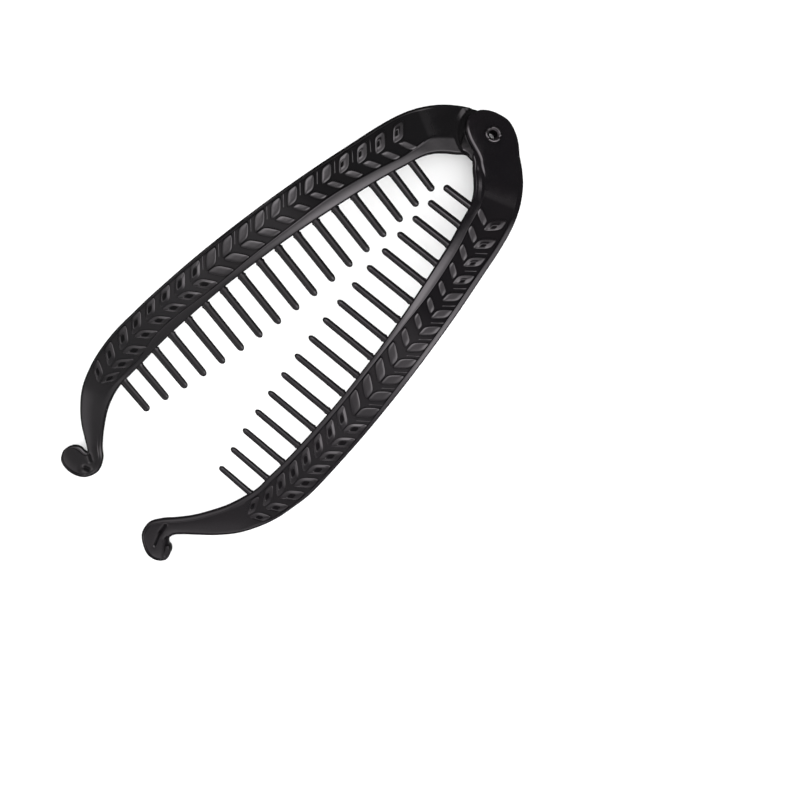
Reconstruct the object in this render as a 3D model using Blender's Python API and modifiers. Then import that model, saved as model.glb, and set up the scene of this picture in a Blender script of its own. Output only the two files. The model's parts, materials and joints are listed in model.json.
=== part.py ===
"""A long arched hair clip in two moulded arms that swing on one hollow rivet.

Each arm is a curved strip with two rows of raised leaves, a comb of seventeen teeth, a half-lap lug at the
hinge and a hook at the far end. The arms are drawn closed, side by side along +X, and then swung open to the
pose at rest.

Lengths in the tables and in the named sizes are millimetres. MM turns them to metres where points are made.
A place on an arm has a plan position x, y and a level, which is the distance above the arm's middle surface.
That surface is level across the clip. Along the clip it is two straight ends joined by an arc.
"""

import math
from collections import namedtuple

import bmesh
import bpy
from mathutils import Matrix, Vector

MM = 0.001

# The arch: both ends slope by END_SLOPE, and an arc joins them between the straight stretches.
END_SLOPE = math.radians(23.0)
STRAIGHT_END = 12.0
ARCH_MIDDLE = 74.85
ARCH_HALF = ARCH_MIDDLE - STRAIGHT_END
ARCH_RADIUS = ARCH_HALF / math.sin(END_SLOPE)
ARCH_TOP = STRAIGHT_END * math.tan(END_SLOPE) + ARCH_RADIUS * (1.0 - math.cos(END_SLOPE))

# The hinge: its axis is square to the sloping end, and each arm stands open by OPEN_ANGLE at rest.
HINGE_AXIS = Vector((-math.sin(END_SLOPE), 0.0, math.cos(END_SLOPE)))
OPEN_ANGLE = math.radians(6.5)
LAP_GAP = 0.15
LAP_RADIUS = 9.6
LAP_RELIEF = 0.1
LUG_LEVEL = 1.55
RAMP_INNER_RADIUS = 9.4
RAMP_OUTER_RADIUS = 12.6
RAMP_TOP = 2.0
BORE_RADIUS = 1.95
CUTTER_REACH = 6.0
CUTTER_SIDES = 48

# The hollow rivet.
RIVET_BORE = 1.27
RIVET_BARREL = 1.62
RIVET_FLANGE = 2.45
RIVET_SEAT = LUG_LEVEL + 0.2
RIVET_END = 2.35
RIVET_MOUTH = 0.4
RIVET_CREST_DROP = 0.1
RIVET_RIM_DROP = 0.33
RIVET_RIM_INSET = 0.17
RIVET_SIDES = 24

# Edges of the strip and of the lug plates. No edge takes more than NARROW_SHARE of a section's width.
EDGE = 0.5
UNDER_EDGE = 0.35
RIM_WIDTH = 1.3
WALL_RUN = 0.35
PLATE_EDGE = 0.3
NARROW_SHARE = 0.2
SPAN_PER_STEP = 6.5

# Teeth: one comb of TOOTH_COUNT on each arm, TOOTH_PITCH apart along the arch, set half a pitch from the
# other arm's.
TOOTH_COUNT = 17
TOOTH_PITCH = 6.51
TOOTH_ROOT_DEPTH = 1.6
TOOTH_ROOT_LEVEL = -0.35
TOOTH_THICKNESS = 1.8
TOOTH_DROOP = 0.9
TOOTH_TIP_RUN = 1.1
TOOTH_TIP_SHARE = 0.42
COMB_MIDDLE = 67.0
COMB_REACH = 5.0
COMB_BOW = 0.00143

# Corners of a tooth's upper half, across and up, as shares of its half width and half thickness.
TOOTH_CORNERS = ((-1.0, 0.45), (-0.6, 1.0), (0.6, 1.0), (1.0, 0.45))

# Leaves: two rows of LEAF_PAIRS, raised from the sunk field between the inner band and the outer rim. After
# the first EVEN_PAIRS they stand closer, by the arm's own pitch.
LEAF_PAIRS = 20
EVEN_PAIRS = 12
LEAF_PITCH = 5.75
LEAF_LENGTH = 5.3
LEAF_WIDTH = 3.1
LEAF_ANGLE = math.radians(44.0)
LEAF_RISE = 0.25
LEAF_RIDGE_RISE = 0.55
LEAF_SUNK = 0.35
LEAF_LAG = 0.15
FIRST_LEAF = 20.7
FULL_HALF_FIELD = 4.1

# A leaf's outline and ridge, as shares of its half length and half width.
LEAF_OUTLINE = ((-1.0, 0.0), (-0.35, 0.95), (0.4, 0.85), (1.0, 0.0), (0.4, -0.85), (-0.35, -0.95))
LEAF_RIDGE = (-0.45, 0.5)

Row = namedtuple("Row", "outer_x outer_y inner_x inner_y top bottom band sunk")
Arm = namedtuple(
    "Arm", "name side laps_over hook_rows first_tooth root_width tip_width end_width hook_pitch"
)

# The strip from the hinge to where the necks part: the two edges, the levels of its faces, the width of the
# smooth inner band and how far the leaf field is sunk.
STRIP_ROWS = (
    Row(-3.2, 5.5, 6.2, -1.2, 1.10, -1.20, 4.0, 0.0),
    Row(-1.9, 7.7, 8.0, -0.7, 1.10, -1.20, 4.0, 0.0),
    Row(-0.4, 9.8, 9.2, 0.7, 1.15, -1.20, 4.2, 0.0),
    Row(2.5, 13.05, 10.7, 1.95, 1.20, -1.30, 4.4, 0.0),
    Row(6.25, 16.15, 12.6, 3.8, 1.30, -1.40, 4.6, 0.0),
    Row(11.1, 18.85, 15.3, 5.9, 1.40, -1.45, 4.6, 0.1),
    Row(16.75, 20.7, 18.75, 7.4, 1.50, -1.50, 4.4, 0.4),
    Row(23.5, 21.8, 24.0, 8.3, 1.50, -1.50, 4.1, 0.4),
    Row(32.0, 22.55, 32.0, 9.6, 1.50, -1.50, 3.7, 0.4),
    Row(45.5, 23.7, 45.5, 11.1, 1.50, -1.50, 3.0, 0.4),
    Row(60.0, 24.5, 60.0, 12.35, 1.50, -1.50, 2.6, 0.4),
    Row(74.0, 24.9, 74.0, 13.0, 1.50, -1.50, 2.0, 0.4),
    Row(88.0, 24.9, 88.0, 13.2, 1.50, -1.50, 1.5, 0.4),
    Row(102.0, 24.4, 102.0, 12.75, 1.50, -1.50, 1.2, 0.4),
    Row(110.4, 23.8, 110.0, 12.2, 1.50, -1.50, 1.2, 0.4),
)

# The lower hook: its neck sinks under the other arm's, turns outwards and ends in a flat round lobe.
LOWER_HOOK_ROWS = (
    Row(117.5, 23.1, 116.3, 11.4, 1.50, -1.50, 1.2, 0.4),
    Row(124.5, 21.5, 121.6, 10.9, 1.50, -1.55, 1.2, 0.4),
    Row(130.0, 19.4, 126.1, 10.4, 1.40, -1.70, 1.2, 0.15),
    Row(134.7, 16.75, 130.0, 9.2, 1.15, -1.90, 1.2, 0.0),
    Row(138.4, 13.35, 133.9, 7.1, 0.70, -2.10, 1.2, 0.0),
    Row(141.4, 9.6, 137.9, 3.9, 0.20, -2.25, 1.2, 0.0),
    Row(143.6, 5.4, 141.2, 0.6, -0.10, -2.35, 1.2, 0.0),
    Row(145.0, 2.5, 143.5, -2.5, -0.15, -2.35, 1.2, 0.0),
    Row(145.5, 2.0, 146.8, -4.2, -0.15, -2.35, 1.2, 0.0),
    Row(145.75, 2.4, 150.2, -3.3, -0.15, -2.35, 1.2, 0.0),
    Row(145.9, 3.1, 152.35, -0.8, -0.15, -2.35, 1.2, 0.0),
    Row(146.0, 4.0, 153.2, 2.4, -0.15, -2.35, 1.2, 0.0),
    Row(146.5, 5.1, 152.8, 4.8, -0.15, -2.35, 1.2, 0.0),
    Row(147.5, 6.05, 151.5, 6.1, -0.15, -2.35, 1.2, 0.0),
    Row(148.9, 6.6, 150.3, 6.6, -0.15, -2.35, 1.2, 0.0),
)

# The upper hook: its neck rises over the other arm's and ends in a smaller lobe with a lip turned down.
UPPER_HOOK_ROWS = (
    Row(116.0, 22.6, 114.6, 11.7, 1.50, -1.50, 1.2, 0.4),
    Row(121.6, 21.0, 119.0, 11.3, 1.50, -1.50, 1.2, 0.4),
    Row(126.8, 18.6, 123.4, 9.8, 1.55, -1.30, 1.2, 0.15),
    Row(131.8, 15.3, 127.9, 7.8, 1.65, -0.90, 1.2, 0.0),
    Row(135.9, 11.2, 132.0, 5.2, 1.85, -0.45, 1.2, 0.0),
    Row(139.2, 7.0, 135.9, 2.3, 2.05, -0.05, 1.2, 0.0),
    Row(141.6, 3.8, 139.3, -0.9, 2.20, 0.15, 1.2, 0.0),
    Row(143.4, 1.8, 142.2, -3.9, 2.25, 0.15, 1.2, 0.0),
    Row(144.8, 1.2, 145.4, -6.0, 2.25, 0.15, 1.2, 0.0),
    Row(145.5, 1.4, 148.9, -5.6, 2.25, 0.15, 1.2, 0.0),
    Row(146.0, 1.9, 151.3, -3.2, 2.25, 0.15, 1.2, 0.0),
    Row(146.5, 2.5, 152.6, -0.6, 2.25, 0.15, 1.2, 0.0),
    Row(147.2, 3.3, 152.6, 1.7, 2.25, 0.15, 1.2, 0.0),
    Row(148.3, 4.2, 151.8, 3.5, 2.25, 0.15, 1.2, 0.0),
    Row(149.6, 4.6, 150.8, 4.3, 2.25, 0.15, 1.2, 0.0),
)

# The lip under the upper hook's lobe. It stands on the same ground as the lower hook.
LIP_ROWS = (
    Row(146.9, 2.5, 147.7, 1.9, 1.6, -1.6, 0.2, 0.0),
    Row(147.6, 3.3, 148.4, 2.5, 1.6, -2.68, 0.2, 0.0),
    Row(148.6, 4.1, 149.4, 2.7, 1.6, -2.87, 0.2, 0.0),
    Row(149.8, 4.3, 150.5, 2.8, 1.6, -2.87, 0.2, 0.0),
    Row(150.9, 3.9, 151.5, 2.7, 1.6, -2.87, 0.2, 0.0),
)

# The lug plates, from their round tip behind the hinge to where they end in the strip.
Plate = namedtuple("Plate", "outer_x outer_y inner_x inner_y")
UPPER_LUG_ROWS = (
    Plate(-0.9, -8.4, 1.0, -8.4),
    Plate(-3.3, -7.2, 3.3, -6.9),
    Plate(-5.0, -4.8, 4.9, -4.7),
    Plate(-5.9, -1.9, 6.0, -2.2),
    Plate(-6.1, 1.05, 6.8, -0.2),
    Plate(-5.1, 3.95, 7.7, 1.45),
    Plate(-3.2, 6.85, 8.9, 2.75),
    Plate(-0.2, 9.75, 10.3, 4.45),
    Plate(3.1, 12.55, 12.0, 5.85),
    Plate(7.3, 15.45, 14.4, 7.15),
)
LOWER_LUG_ROWS = (
    Plate(-0.9, -8.4, 1.0, -8.4),
    Plate(-3.3, -7.2, 3.6, -7.2),
    Plate(-5.0, -4.8, 6.2, -5.4),
    Plate(-5.75, -1.9, 8.0, -2.8),
    Plate(-5.85, 0.8, 8.4, -0.9),
    Plate(-4.7, 3.6, 8.5, 0.2),
    Plate(-2.8, 6.5, 8.9, 1.4),
    Plate(0.0, 9.45, 10.1, 2.6),
)

UNDER_ARM = Arm("under_arm", -1, False, LOWER_HOOK_ROWS, 22.15, 2.45, 2.1, 2.1, 5.45)
OVER_ARM = Arm("over_arm", 1, True, UPPER_HOOK_ROWS, 19.0, 2.3, 2.0, 1.5, 5.1)


def clear_scene():
    """Removes every object of the open scene."""
    for old in list(bpy.data.objects):
        bpy.data.objects.remove(old, do_unlink=True)


def new_collection(name, is_helper):
    """A collection in the scene. Helpers are left out of renders."""
    collection = bpy.data.collections.new(name)
    bpy.context.scene.collection.children.link(collection)
    collection.hide_render = is_helper
    return collection


def new_material(name, colour, roughness, metallic):
    """A Principled material of one colour."""
    material = bpy.data.materials.new(name)
    material.use_nodes = True
    shader = material.node_tree.nodes["Principled BSDF"]
    shader.inputs["Base Color"].default_value = (*colour, 1.0)
    shader.inputs["Roughness"].default_value = roughness
    shader.inputs["Metallic"].default_value = metallic
    material.diffuse_color = (*colour, 1.0)
    return material


def arch_height(x):
    """Height of the middle surface over the hinge's centre, at plan position x."""
    away = abs(x - ARCH_MIDDLE)
    if away <= ARCH_HALF:
        return ARCH_TOP - ARCH_RADIUS + math.sqrt(ARCH_RADIUS**2 - away**2)
    return (STRAIGHT_END - (away - ARCH_HALF)) * math.tan(END_SLOPE)


def arch_normal(x):
    """Unit vector square to the middle surface at plan position x."""
    away = max(-ARCH_HALF, min(ARCH_HALF, x - ARCH_MIDDLE))
    return Vector((away, 0.0, math.sqrt(ARCH_RADIUS**2 - away**2))) / ARCH_RADIUS


def place(x, y, level, side):
    """The point, in metres, at a plan position and level of the arm on that side."""
    return (Vector((x, y * side, arch_height(x))) + arch_normal(x) * level) * MM


def between(rows, index, share):
    """A row on the smooth curve through the rows, between index and the next one."""
    last = len(rows) - 1
    four = [rows[min(max(index + step, 0), last)] for step in (-1, 0, 1, 2)]
    values = []
    for before, start, end, after in zip(*four):
        bend = 2.0 * before - 5.0 * start + 4.0 * end - after
        twist = 3.0 * (start - end) + after - before
        value = 2.0 * start + share * ((end - before) + share * (bend + share * twist))
        values.append(0.5 * value)
    return type(rows[0])(*values)


def middle_of(row):
    """Plan point half way between a row's two edges."""
    return Vector(((row.outer_x + row.inner_x) / 2.0, (row.outer_y + row.inner_y) / 2.0))


def smooth_rows(rows):
    """The rows with more of them on the smooth curve through them, where they stand far apart."""
    dense = []
    for index in range(len(rows) - 1):
        gap = (middle_of(rows[index + 1]) - middle_of(rows[index])).length
        steps = max(1, round(gap / SPAN_PER_STEP))
        dense.extend(between(rows, index, step / steps) for step in range(steps))
    return dense + [rows[-1]]


def strip_outline(row):
    """Distance from the inner edge, and level, of each corner of the strip's cross section."""
    width = math.hypot(row.outer_x - row.inner_x, row.outer_y - row.inner_y)
    edge = min(EDGE, NARROW_SHARE * width)
    under = min(UNDER_EDGE, NARROW_SHARE * width)
    band = max(min(row.band, 0.35 * width), edge * 1.3)
    rim = width - min(RIM_WIDTH, 0.3 * width)
    run = min(WALL_RUN, 0.05 * width)
    return (
        (0.0, row.bottom + under),
        (0.0, row.top - edge),
        (edge, row.top),
        (band, row.top),
        (band + run, row.top - row.sunk),
        (rim - run, row.top - row.sunk),
        (rim, row.top),
        (width, row.top - edge),
        (width, row.bottom + under),
        (width - under, row.bottom),
        (under, row.bottom),
    )


def plate_outline(row, top, bottom):
    """Distance from the inner edge, and level, of each corner of a lug plate's cross section."""
    width = math.hypot(row.outer_x - row.inner_x, row.outer_y - row.inner_y)
    edge = min(PLATE_EDGE, NARROW_SHARE * width)
    if top > 0.0:
        corners = ((0.0, bottom), (0.0, top - edge), (edge, top), (width - edge, top), (width, top - edge))
        return corners + ((width, bottom),)
    corners = ((0.0, bottom + edge), (0.0, top), (width, top), (width, bottom + edge))
    return corners + ((width - edge, bottom), (edge, bottom))


def section_points(row, outline, side):
    """Points of one cross section, across the arm from its inner edge to its outer edge."""
    inner = Vector((row.inner_x, row.inner_y))
    across = (Vector((row.outer_x, row.outer_y)) - inner).normalized()
    points = []
    for distance, level in outline:
        plan = inner + across * distance
        points.append(place(plan.x, plan.y, level, side))
    return points


def add_loft(shape, rings):
    """Skins the rings of points into one closed body with flat ends."""
    loops = [[shape.verts.new(point) for point in ring] for ring in rings]
    count = len(loops[0])
    for near, far in zip(loops, loops[1:]):
        for index in range(count):
            after = (index + 1) % count
            shape.faces.new((near[index], near[after], far[after], far[index]))
    shape.faces.new(loops[0])
    shape.faces.new(loops[-1])


def finish_mesh(shape, name):
    """Turns the faces outwards and splits them into triangles."""
    bmesh.ops.recalc_face_normals(shape, faces=shape.faces)
    bmesh.ops.triangulate(shape, faces=shape.faces)
    mesh = bpy.data.meshes.new(name)
    shape.to_mesh(mesh)
    shape.free()
    return mesh


def new_object(name, mesh, collection, material=None):
    """An object in the collection, with its material when it has one."""
    made = bpy.data.objects.new(name, mesh)
    collection.objects.link(made)
    if material:
        mesh.materials.append(material)
    return made


def new_helper(name, mesh, parent, collection):
    """A shape that is joined to an arm or cut from it, carried by the same parent."""
    helper = new_object(name, mesh, collection)
    helper.parent = parent
    helper.hide_render = True
    helper.display_type = "WIRE"
    return helper


def boolean(target, operand, operation):
    """Joins the operand to the target, or cuts it away."""
    modifier = target.modifiers.new(operand.name, "BOOLEAN")
    modifier.operation = operation
    modifier.object = operand
    modifier.solver = "EXACT"


def strip_mesh(arm):
    """The arm's strip and hook as one loft through their rows."""
    shape = bmesh.new()
    rows = smooth_rows(STRIP_ROWS + arm.hook_rows)
    add_loft(shape, [section_points(row, strip_outline(row), arm.side) for row in rows])
    return finish_mesh(shape, arm.name)


def lug_mesh(arm):
    """The arm's half of the lap at the hinge."""
    rows = UPPER_LUG_ROWS if arm.laps_over else LOWER_LUG_ROWS
    top, bottom = (LUG_LEVEL, LAP_GAP) if arm.laps_over else (-LAP_GAP, -LUG_LEVEL)
    shape = bmesh.new()
    rings = [section_points(row, plate_outline(row, top, bottom), arm.side) for row in rows]
    add_loft(shape, rings)
    return finish_mesh(shape, f"{arm.name}_lug")


def lip_mesh():
    """The lip turned down from the upper hook's lobe."""
    shape = bmesh.new()
    rings = []
    for row in LIP_ROWS:
        width = math.hypot(row.outer_x - row.inner_x, row.outer_y - row.inner_y)
        outline = ((0.0, row.bottom), (0.0, row.top), (width, row.top), (width, row.bottom))
        rings.append(section_points(row, outline, OVER_ARM.side))
    add_loft(shape, rings)
    return finish_mesh(shape, "hook_lip")


def inner_edge_at(rows, x):
    """Plan distance of the arm's inner edge from the middle line, at plan position x."""
    for near, far in zip(rows, rows[1:]):
        if near.inner_x <= x <= far.inner_x:
            share = (x - near.inner_x) / (far.inner_x - near.inner_x)
            return near.inner_y + share * (far.inner_y - near.inner_y)
    return rows[-1].inner_y


def tooth_rings(x, root_y, tip_y, root_width, tip_width, side):
    """Cross sections of one tooth from inside the strip to its round tip, drooping a little on the way."""
    length = root_y - tip_y
    # Each station: how far along, how much of the root's width is left, thickness and droop, all as shares.
    profile = (
        (0.0, 1.0, 1.0, 0.0),
        (0.5, 0.5, 0.92, 0.35),
        (1.0 - TOOTH_TIP_RUN / length, 0.0, 0.8, 0.9),
        (1.0, 0.0, 0.3, 1.0),
    )
    corners = TOOTH_CORNERS + tuple((across, -up) for across, up in reversed(TOOTH_CORNERS))
    rings = []
    for along, root_share, thickness_share, droop in profile:
        width = tip_width + (root_width - tip_width) * root_share
        half = 0.5 * width * (TOOTH_TIP_SHARE if along == 1.0 else 1.0)
        rise = 0.5 * TOOTH_THICKNESS * thickness_share
        y = root_y - along * length
        level = TOOTH_ROOT_LEVEL - TOOTH_DROOP * droop
        rings.append([place(x + across * half, y, level + up * rise, side) for across, up in corners])
    return rings


def comb_mesh(arm):
    """The arm's teeth, evenly spaced along the arch. Their tips lie on a bow past the clip's middle line."""
    rows = smooth_rows(STRIP_ROWS + arm.hook_rows[:5])
    shape = bmesh.new()
    start = math.asin((arm.first_tooth - ARCH_MIDDLE) / ARCH_RADIUS)
    step = TOOTH_PITCH / ARCH_RADIUS
    for number in range(TOOTH_COUNT):
        x = ARCH_MIDDLE + ARCH_RADIUS * math.sin(start + number * step)
        root_y = inner_edge_at(rows, x) + TOOTH_ROOT_DEPTH
        tip_y = COMB_BOW * (x - COMB_MIDDLE) ** 2 - COMB_REACH
        share = number / (TOOTH_COUNT - 1)
        tip_width = arm.tip_width + (arm.end_width - arm.tip_width) * share
        add_loft(shape, tooth_rings(x, root_y, tip_y, arm.root_width, tip_width, arm.side))
    return finish_mesh(shape, f"{arm.name}_comb")


def find_span(values, goal):
    """Which step of a rising list of values holds the goal, and how far along that step it lies."""
    index = max(i for i, value in enumerate(values[:-1]) if value <= goal)
    return index, (goal - values[index]) / (values[index + 1] - values[index])


def field_places(rows, hook_pitch):
    """For each pair of leaves: the plan point between them, the way across, the half width and the level."""
    lengths = [0.0]
    for near, far in zip(rows, rows[1:]):
        lengths.append(lengths[-1] + (middle_of(far) - middle_of(near)).length)
    index, share = find_span([middle_of(row).x for row in rows], FIRST_LEAF)
    start = lengths[index] + share * (lengths[index + 1] - lengths[index])
    places = []
    for pair in range(LEAF_PAIRS):
        goal = start + LEAF_PITCH * min(pair, EVEN_PAIRS) + hook_pitch * max(pair - EVEN_PAIRS, 0)
        index, share = find_span(lengths, goal)
        row = type(rows[0])(*(a + share * (b - a) for a, b in zip(rows[index], rows[index + 1])))
        inner = Vector((row.inner_x, row.inner_y))
        outer = Vector((row.outer_x, row.outer_y))
        across = (outer - inner).normalized()
        low = inner + across * (row.band + WALL_RUN)
        high = outer - across * (RIM_WIDTH + WALL_RUN)
        places.append(((low + high) / 2.0, across, (high - low).length / 2.0, row.top - row.sunk))
    return places


def add_leaf(shape, middle, across, half_field, floor, row_side, side):
    """One raised leaf: a pointed outline sunk into the field, with a ridge along its middle."""
    along = Vector((across.y, -across.x))
    centre = middle + across * row_side * half_field * 0.5 - along * half_field * LEAF_LAG
    way = along * math.cos(LEAF_ANGLE) - across * row_side * math.sin(LEAF_ANGLE)
    wide = Vector((-way.y, way.x))
    size = min(1.0, half_field / FULL_HALF_FIELD)
    length = size * LEAF_LENGTH / 2.0
    half = size * LEAF_WIDTH / 2.0
    foot, rim = [], []
    for share_long, share_wide in LEAF_OUTLINE:
        plan = centre + way * share_long * length + wide * share_wide * half
        foot.append(shape.verts.new(place(plan.x, plan.y, floor - LEAF_SUNK, side)))
        rim.append(shape.verts.new(place(plan.x, plan.y, floor + LEAF_RISE, side)))
    ridge = []
    for share_long in LEAF_RIDGE:
        plan = centre + way * share_long * length
        ridge.append(shape.verts.new(place(plan.x, plan.y, floor + LEAF_RIDGE_RISE, side)))
    shape.faces.new(foot)
    for index in range(len(foot)):
        after = (index + 1) % len(foot)
        shape.faces.new((foot[index], foot[after], rim[after], rim[index]))
    back, front = ridge
    shape.faces.new((rim[0], rim[1], back))
    shape.faces.new((rim[1], rim[2], front, back))
    shape.faces.new((rim[2], rim[3], front))
    shape.faces.new((rim[3], rim[4], front))
    shape.faces.new((rim[4], rim[5], back, front))
    shape.faces.new((rim[5], rim[0], back))


def relief_mesh(arm):
    """Both rows of leaves of one arm. They open towards the hinge."""
    rows = smooth_rows(STRIP_ROWS + arm.hook_rows[:6])
    shape = bmesh.new()
    for middle, across, half_field, floor in field_places(rows, arm.hook_pitch):
        for row_side in (1, -1):
            add_leaf(shape, middle, across, half_field, floor, row_side, arm.side)
    return finish_mesh(shape, f"{arm.name}_relief")


def turned_cutter(name, low_radius, high_radius, low, high, parent, collection):
    """A cylinder or cone on the hinge's axis, between two levels."""
    shape = bmesh.new()
    bmesh.ops.create_cone(
        shape,
        cap_ends=True,
        segments=CUTTER_SIDES,
        radius1=low_radius * MM,
        radius2=high_radius * MM,
        depth=(high - low) * MM,
    )
    turn = Vector((0.0, 0.0, 1.0)).rotation_difference(HINGE_AXIS).to_matrix().to_4x4()
    lift = Matrix.Translation((0.0, 0.0, (low + high) / 2.0 * MM))
    bmesh.ops.transform(shape, matrix=turn @ lift, verts=shape.verts)
    return new_helper(name, finish_mesh(shape, name), parent, collection)


def build_arm(arm, parent, collection, helpers, material):
    """One moulded arm: strip and hook, cut for the lap, with lug, teeth and leaves joined, then bored."""
    body = new_object(arm.name, strip_mesh(arm), collection, material)
    body.parent = parent
    relief = LAP_GAP + LAP_RELIEF
    if not arm.laps_over:
        ramp_sizes = (RAMP_INNER_RADIUS, RAMP_OUTER_RADIUS, -LAP_GAP, RAMP_TOP)
        ramp = turned_cutter("lap_ramp", *ramp_sizes, parent, helpers)
        boolean(body, ramp, "DIFFERENCE")
        lap = turned_cutter("lower_lap", LAP_RADIUS, LAP_RADIUS, -relief, CUTTER_REACH, parent, helpers)
    else:
        lap = turned_cutter("upper_lap", LAP_RADIUS, LAP_RADIUS, -CUTTER_REACH, relief, parent, helpers)
    boolean(body, lap, "DIFFERENCE")
    joined = [lug_mesh(arm), comb_mesh(arm), relief_mesh(arm)]
    if arm.laps_over:
        joined.append(lip_mesh())
    for mesh in joined:
        boolean(body, new_helper(mesh.name, mesh, parent, helpers), "UNION")
    bore_name = f"{arm.name}_bore"
    bore = turned_cutter(bore_name, BORE_RADIUS, BORE_RADIUS, -CUTTER_REACH, CUTTER_REACH, parent, helpers)
    boolean(body, bore, "DIFFERENCE")
    return body


def rivet_profile():
    """Corners of the rivet's wall, down the outside and up the bore, as radius and level."""
    shoulder = RIVET_END - RIVET_CREST_DROP
    curl = (
        (RIVET_BORE + RIVET_RIM_INSET, shoulder),
        ((RIVET_BORE + RIVET_FLANGE) / 2.0, RIVET_END),
        (RIVET_FLANGE - RIVET_RIM_INSET, shoulder),
        (RIVET_FLANGE, RIVET_END - RIVET_RIM_DROP),
        (RIVET_FLANGE - RIVET_RIM_INSET, RIVET_SEAT),
        (RIVET_BARREL, RIVET_SEAT),
    )
    lower = tuple((radius, -level) for radius, level in reversed(curl))
    mouth = RIVET_END - RIVET_MOUTH
    return curl + lower + ((RIVET_BORE, -mouth), (RIVET_BORE, mouth))


def build_rivet(parent, collection, material):
    """The hollow rivet, turned about the hinge's axis from its wall's outline."""
    shape = bmesh.new()
    corners = [shape.verts.new((radius * MM, 0.0, level * MM)) for radius, level in rivet_profile()]
    for near, far in zip(corners, corners[1:] + corners[:1]):
        shape.edges.new((near, far))
    mesh = bpy.data.meshes.new("hinge_rivet")
    shape.to_mesh(mesh)
    shape.free()
    rivet = new_object("hinge_rivet", mesh, collection, material)
    rivet.parent = parent
    rivet.rotation_mode = "QUATERNION"
    rivet.rotation_quaternion = Vector((0.0, 0.0, 1.0)).rotation_difference(HINGE_AXIS)
    turn = rivet.modifiers.new("turn", "SCREW")
    turn.axis = "Z"
    turn.angle = 2.0 * math.pi
    turn.steps = RIVET_SIDES
    turn.render_steps = RIVET_SIDES
    turn.use_merge_vertices = True
    turn.merge_threshold = 0.00001
    return rivet


def new_empty(name, parent, collection):
    """An empty that carries pieces."""
    empty = bpy.data.objects.new(name, None)
    empty.empty_display_size = 10.0 * MM
    collection.objects.link(empty)
    empty.parent = parent
    return empty


def swing(empty, angle):
    """Turns the empty, whose origin is the hinge's centre, about the hinge's axis."""
    empty.rotation_mode = "AXIS_ANGLE"
    empty.rotation_axis_angle = (angle, *HINGE_AXIS)


def stand_on_ground(root, pieces):
    """Moves the clip so that the world's origin is under the middle of its box."""
    bpy.context.view_layer.update()
    graph = bpy.context.evaluated_depsgraph_get()
    points = []
    for piece in pieces:
        evaluated = piece.evaluated_get(graph)
        mesh = evaluated.to_mesh()
        points.extend(evaluated.matrix_world @ vertex.co for vertex in mesh.vertices)
        evaluated.to_mesh_clear()
    low = [min(point[axis] for point in points) for axis in range(3)]
    high = [max(point[axis] for point in points) for axis in range(3)]
    root.location = (-(low[0] + high[0]) / 2.0, -(low[1] + high[1]) / 2.0, -low[2])
    bpy.context.view_layer.update()


def main():
    """Builds the whole clip."""
    clear_scene()
    collection = new_collection("fish_hair_clip", False)
    helpers = new_collection("cutters", True)
    lower_plastic = new_material("glossy_black_plastic_lower", (0.012, 0.012, 0.013), 0.22, 0.0)
    upper_plastic = new_material("glossy_black_plastic_upper", (0.014, 0.013, 0.015), 0.22, 0.0)
    metal = new_material("blackened_metal", (0.035, 0.035, 0.038), 0.28, 1.0)

    root = new_empty("clip_root", None, collection)
    lower_pivot = new_empty("lower_arm_pivot", root, collection)
    upper_pivot = new_empty("arm_hinge", root, collection)
    swing(lower_pivot, UNDER_ARM.side * OPEN_ANGLE)
    swing(upper_pivot, OVER_ARM.side * OPEN_ANGLE)

    pieces = [
        build_arm(UNDER_ARM, lower_pivot, collection, helpers, lower_plastic),
        build_arm(OVER_ARM, upper_pivot, collection, helpers, upper_plastic),
        build_rivet(root, collection, metal),
    ]
    stand_on_ground(root, pieces)


main()
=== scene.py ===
"""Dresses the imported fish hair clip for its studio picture.

The clip is two injection-moulded arms of glossy black plastic that swing on one hollow, blackened metal
rivet. Each arm is a long arched strip with two rows of raised leaves, a comb of teeth, a round lug at the
hinge and a hook. The fine meshes below follow the same driving sizes as the solids, so they lie where the
solids are.

Lengths in the tables are millimetres. A place on an arm has a plan position x, y in the closed clip, with y
towards the arm's own side, and a level above the arm's arched middle surface.
"""

import json
import logging
import math
from collections.abc import Sequence
from dataclasses import dataclass
from enum import Enum
from typing import NamedTuple

import bmesh
import bpy
import numpy as np
from mathutils import Matrix, Vector
from mathutils.kdtree import KDTree


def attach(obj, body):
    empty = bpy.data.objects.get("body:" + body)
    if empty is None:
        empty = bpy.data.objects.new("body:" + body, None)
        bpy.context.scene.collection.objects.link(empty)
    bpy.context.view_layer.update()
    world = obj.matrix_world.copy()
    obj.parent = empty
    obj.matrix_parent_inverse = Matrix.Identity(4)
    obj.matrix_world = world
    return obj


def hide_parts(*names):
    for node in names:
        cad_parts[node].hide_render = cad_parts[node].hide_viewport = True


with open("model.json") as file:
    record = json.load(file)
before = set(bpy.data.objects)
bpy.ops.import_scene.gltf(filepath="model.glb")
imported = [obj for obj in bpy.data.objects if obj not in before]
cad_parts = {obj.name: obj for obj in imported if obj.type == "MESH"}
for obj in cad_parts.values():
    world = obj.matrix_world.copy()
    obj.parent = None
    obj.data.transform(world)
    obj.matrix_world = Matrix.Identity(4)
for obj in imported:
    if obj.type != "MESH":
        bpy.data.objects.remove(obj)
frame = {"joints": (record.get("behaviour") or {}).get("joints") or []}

log = logging.getLogger("fish_hair_clip")

MM = 0.001
# Name of the attribute that makes the sunk field, pits and grooves matt and darkens them as painted shade.
RECESS_MATT_AND_SHADE = "recess"


class Row(NamedTuple):
    """One row across a strip: edges in plan, levels of its faces, sunk field, inner band and outer rim."""

    outer_x: float
    outer_y: float
    inner_x: float
    inner_y: float
    top: float
    bottom: float
    sunk: float = 0.0
    band: float = 1.2
    rim: float = 0.6


class Edge(NamedTuple):
    """The two ends of one row across a lug plate, in plan."""

    outer_x: float
    outer_y: float
    inner_x: float
    inner_y: float


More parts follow.
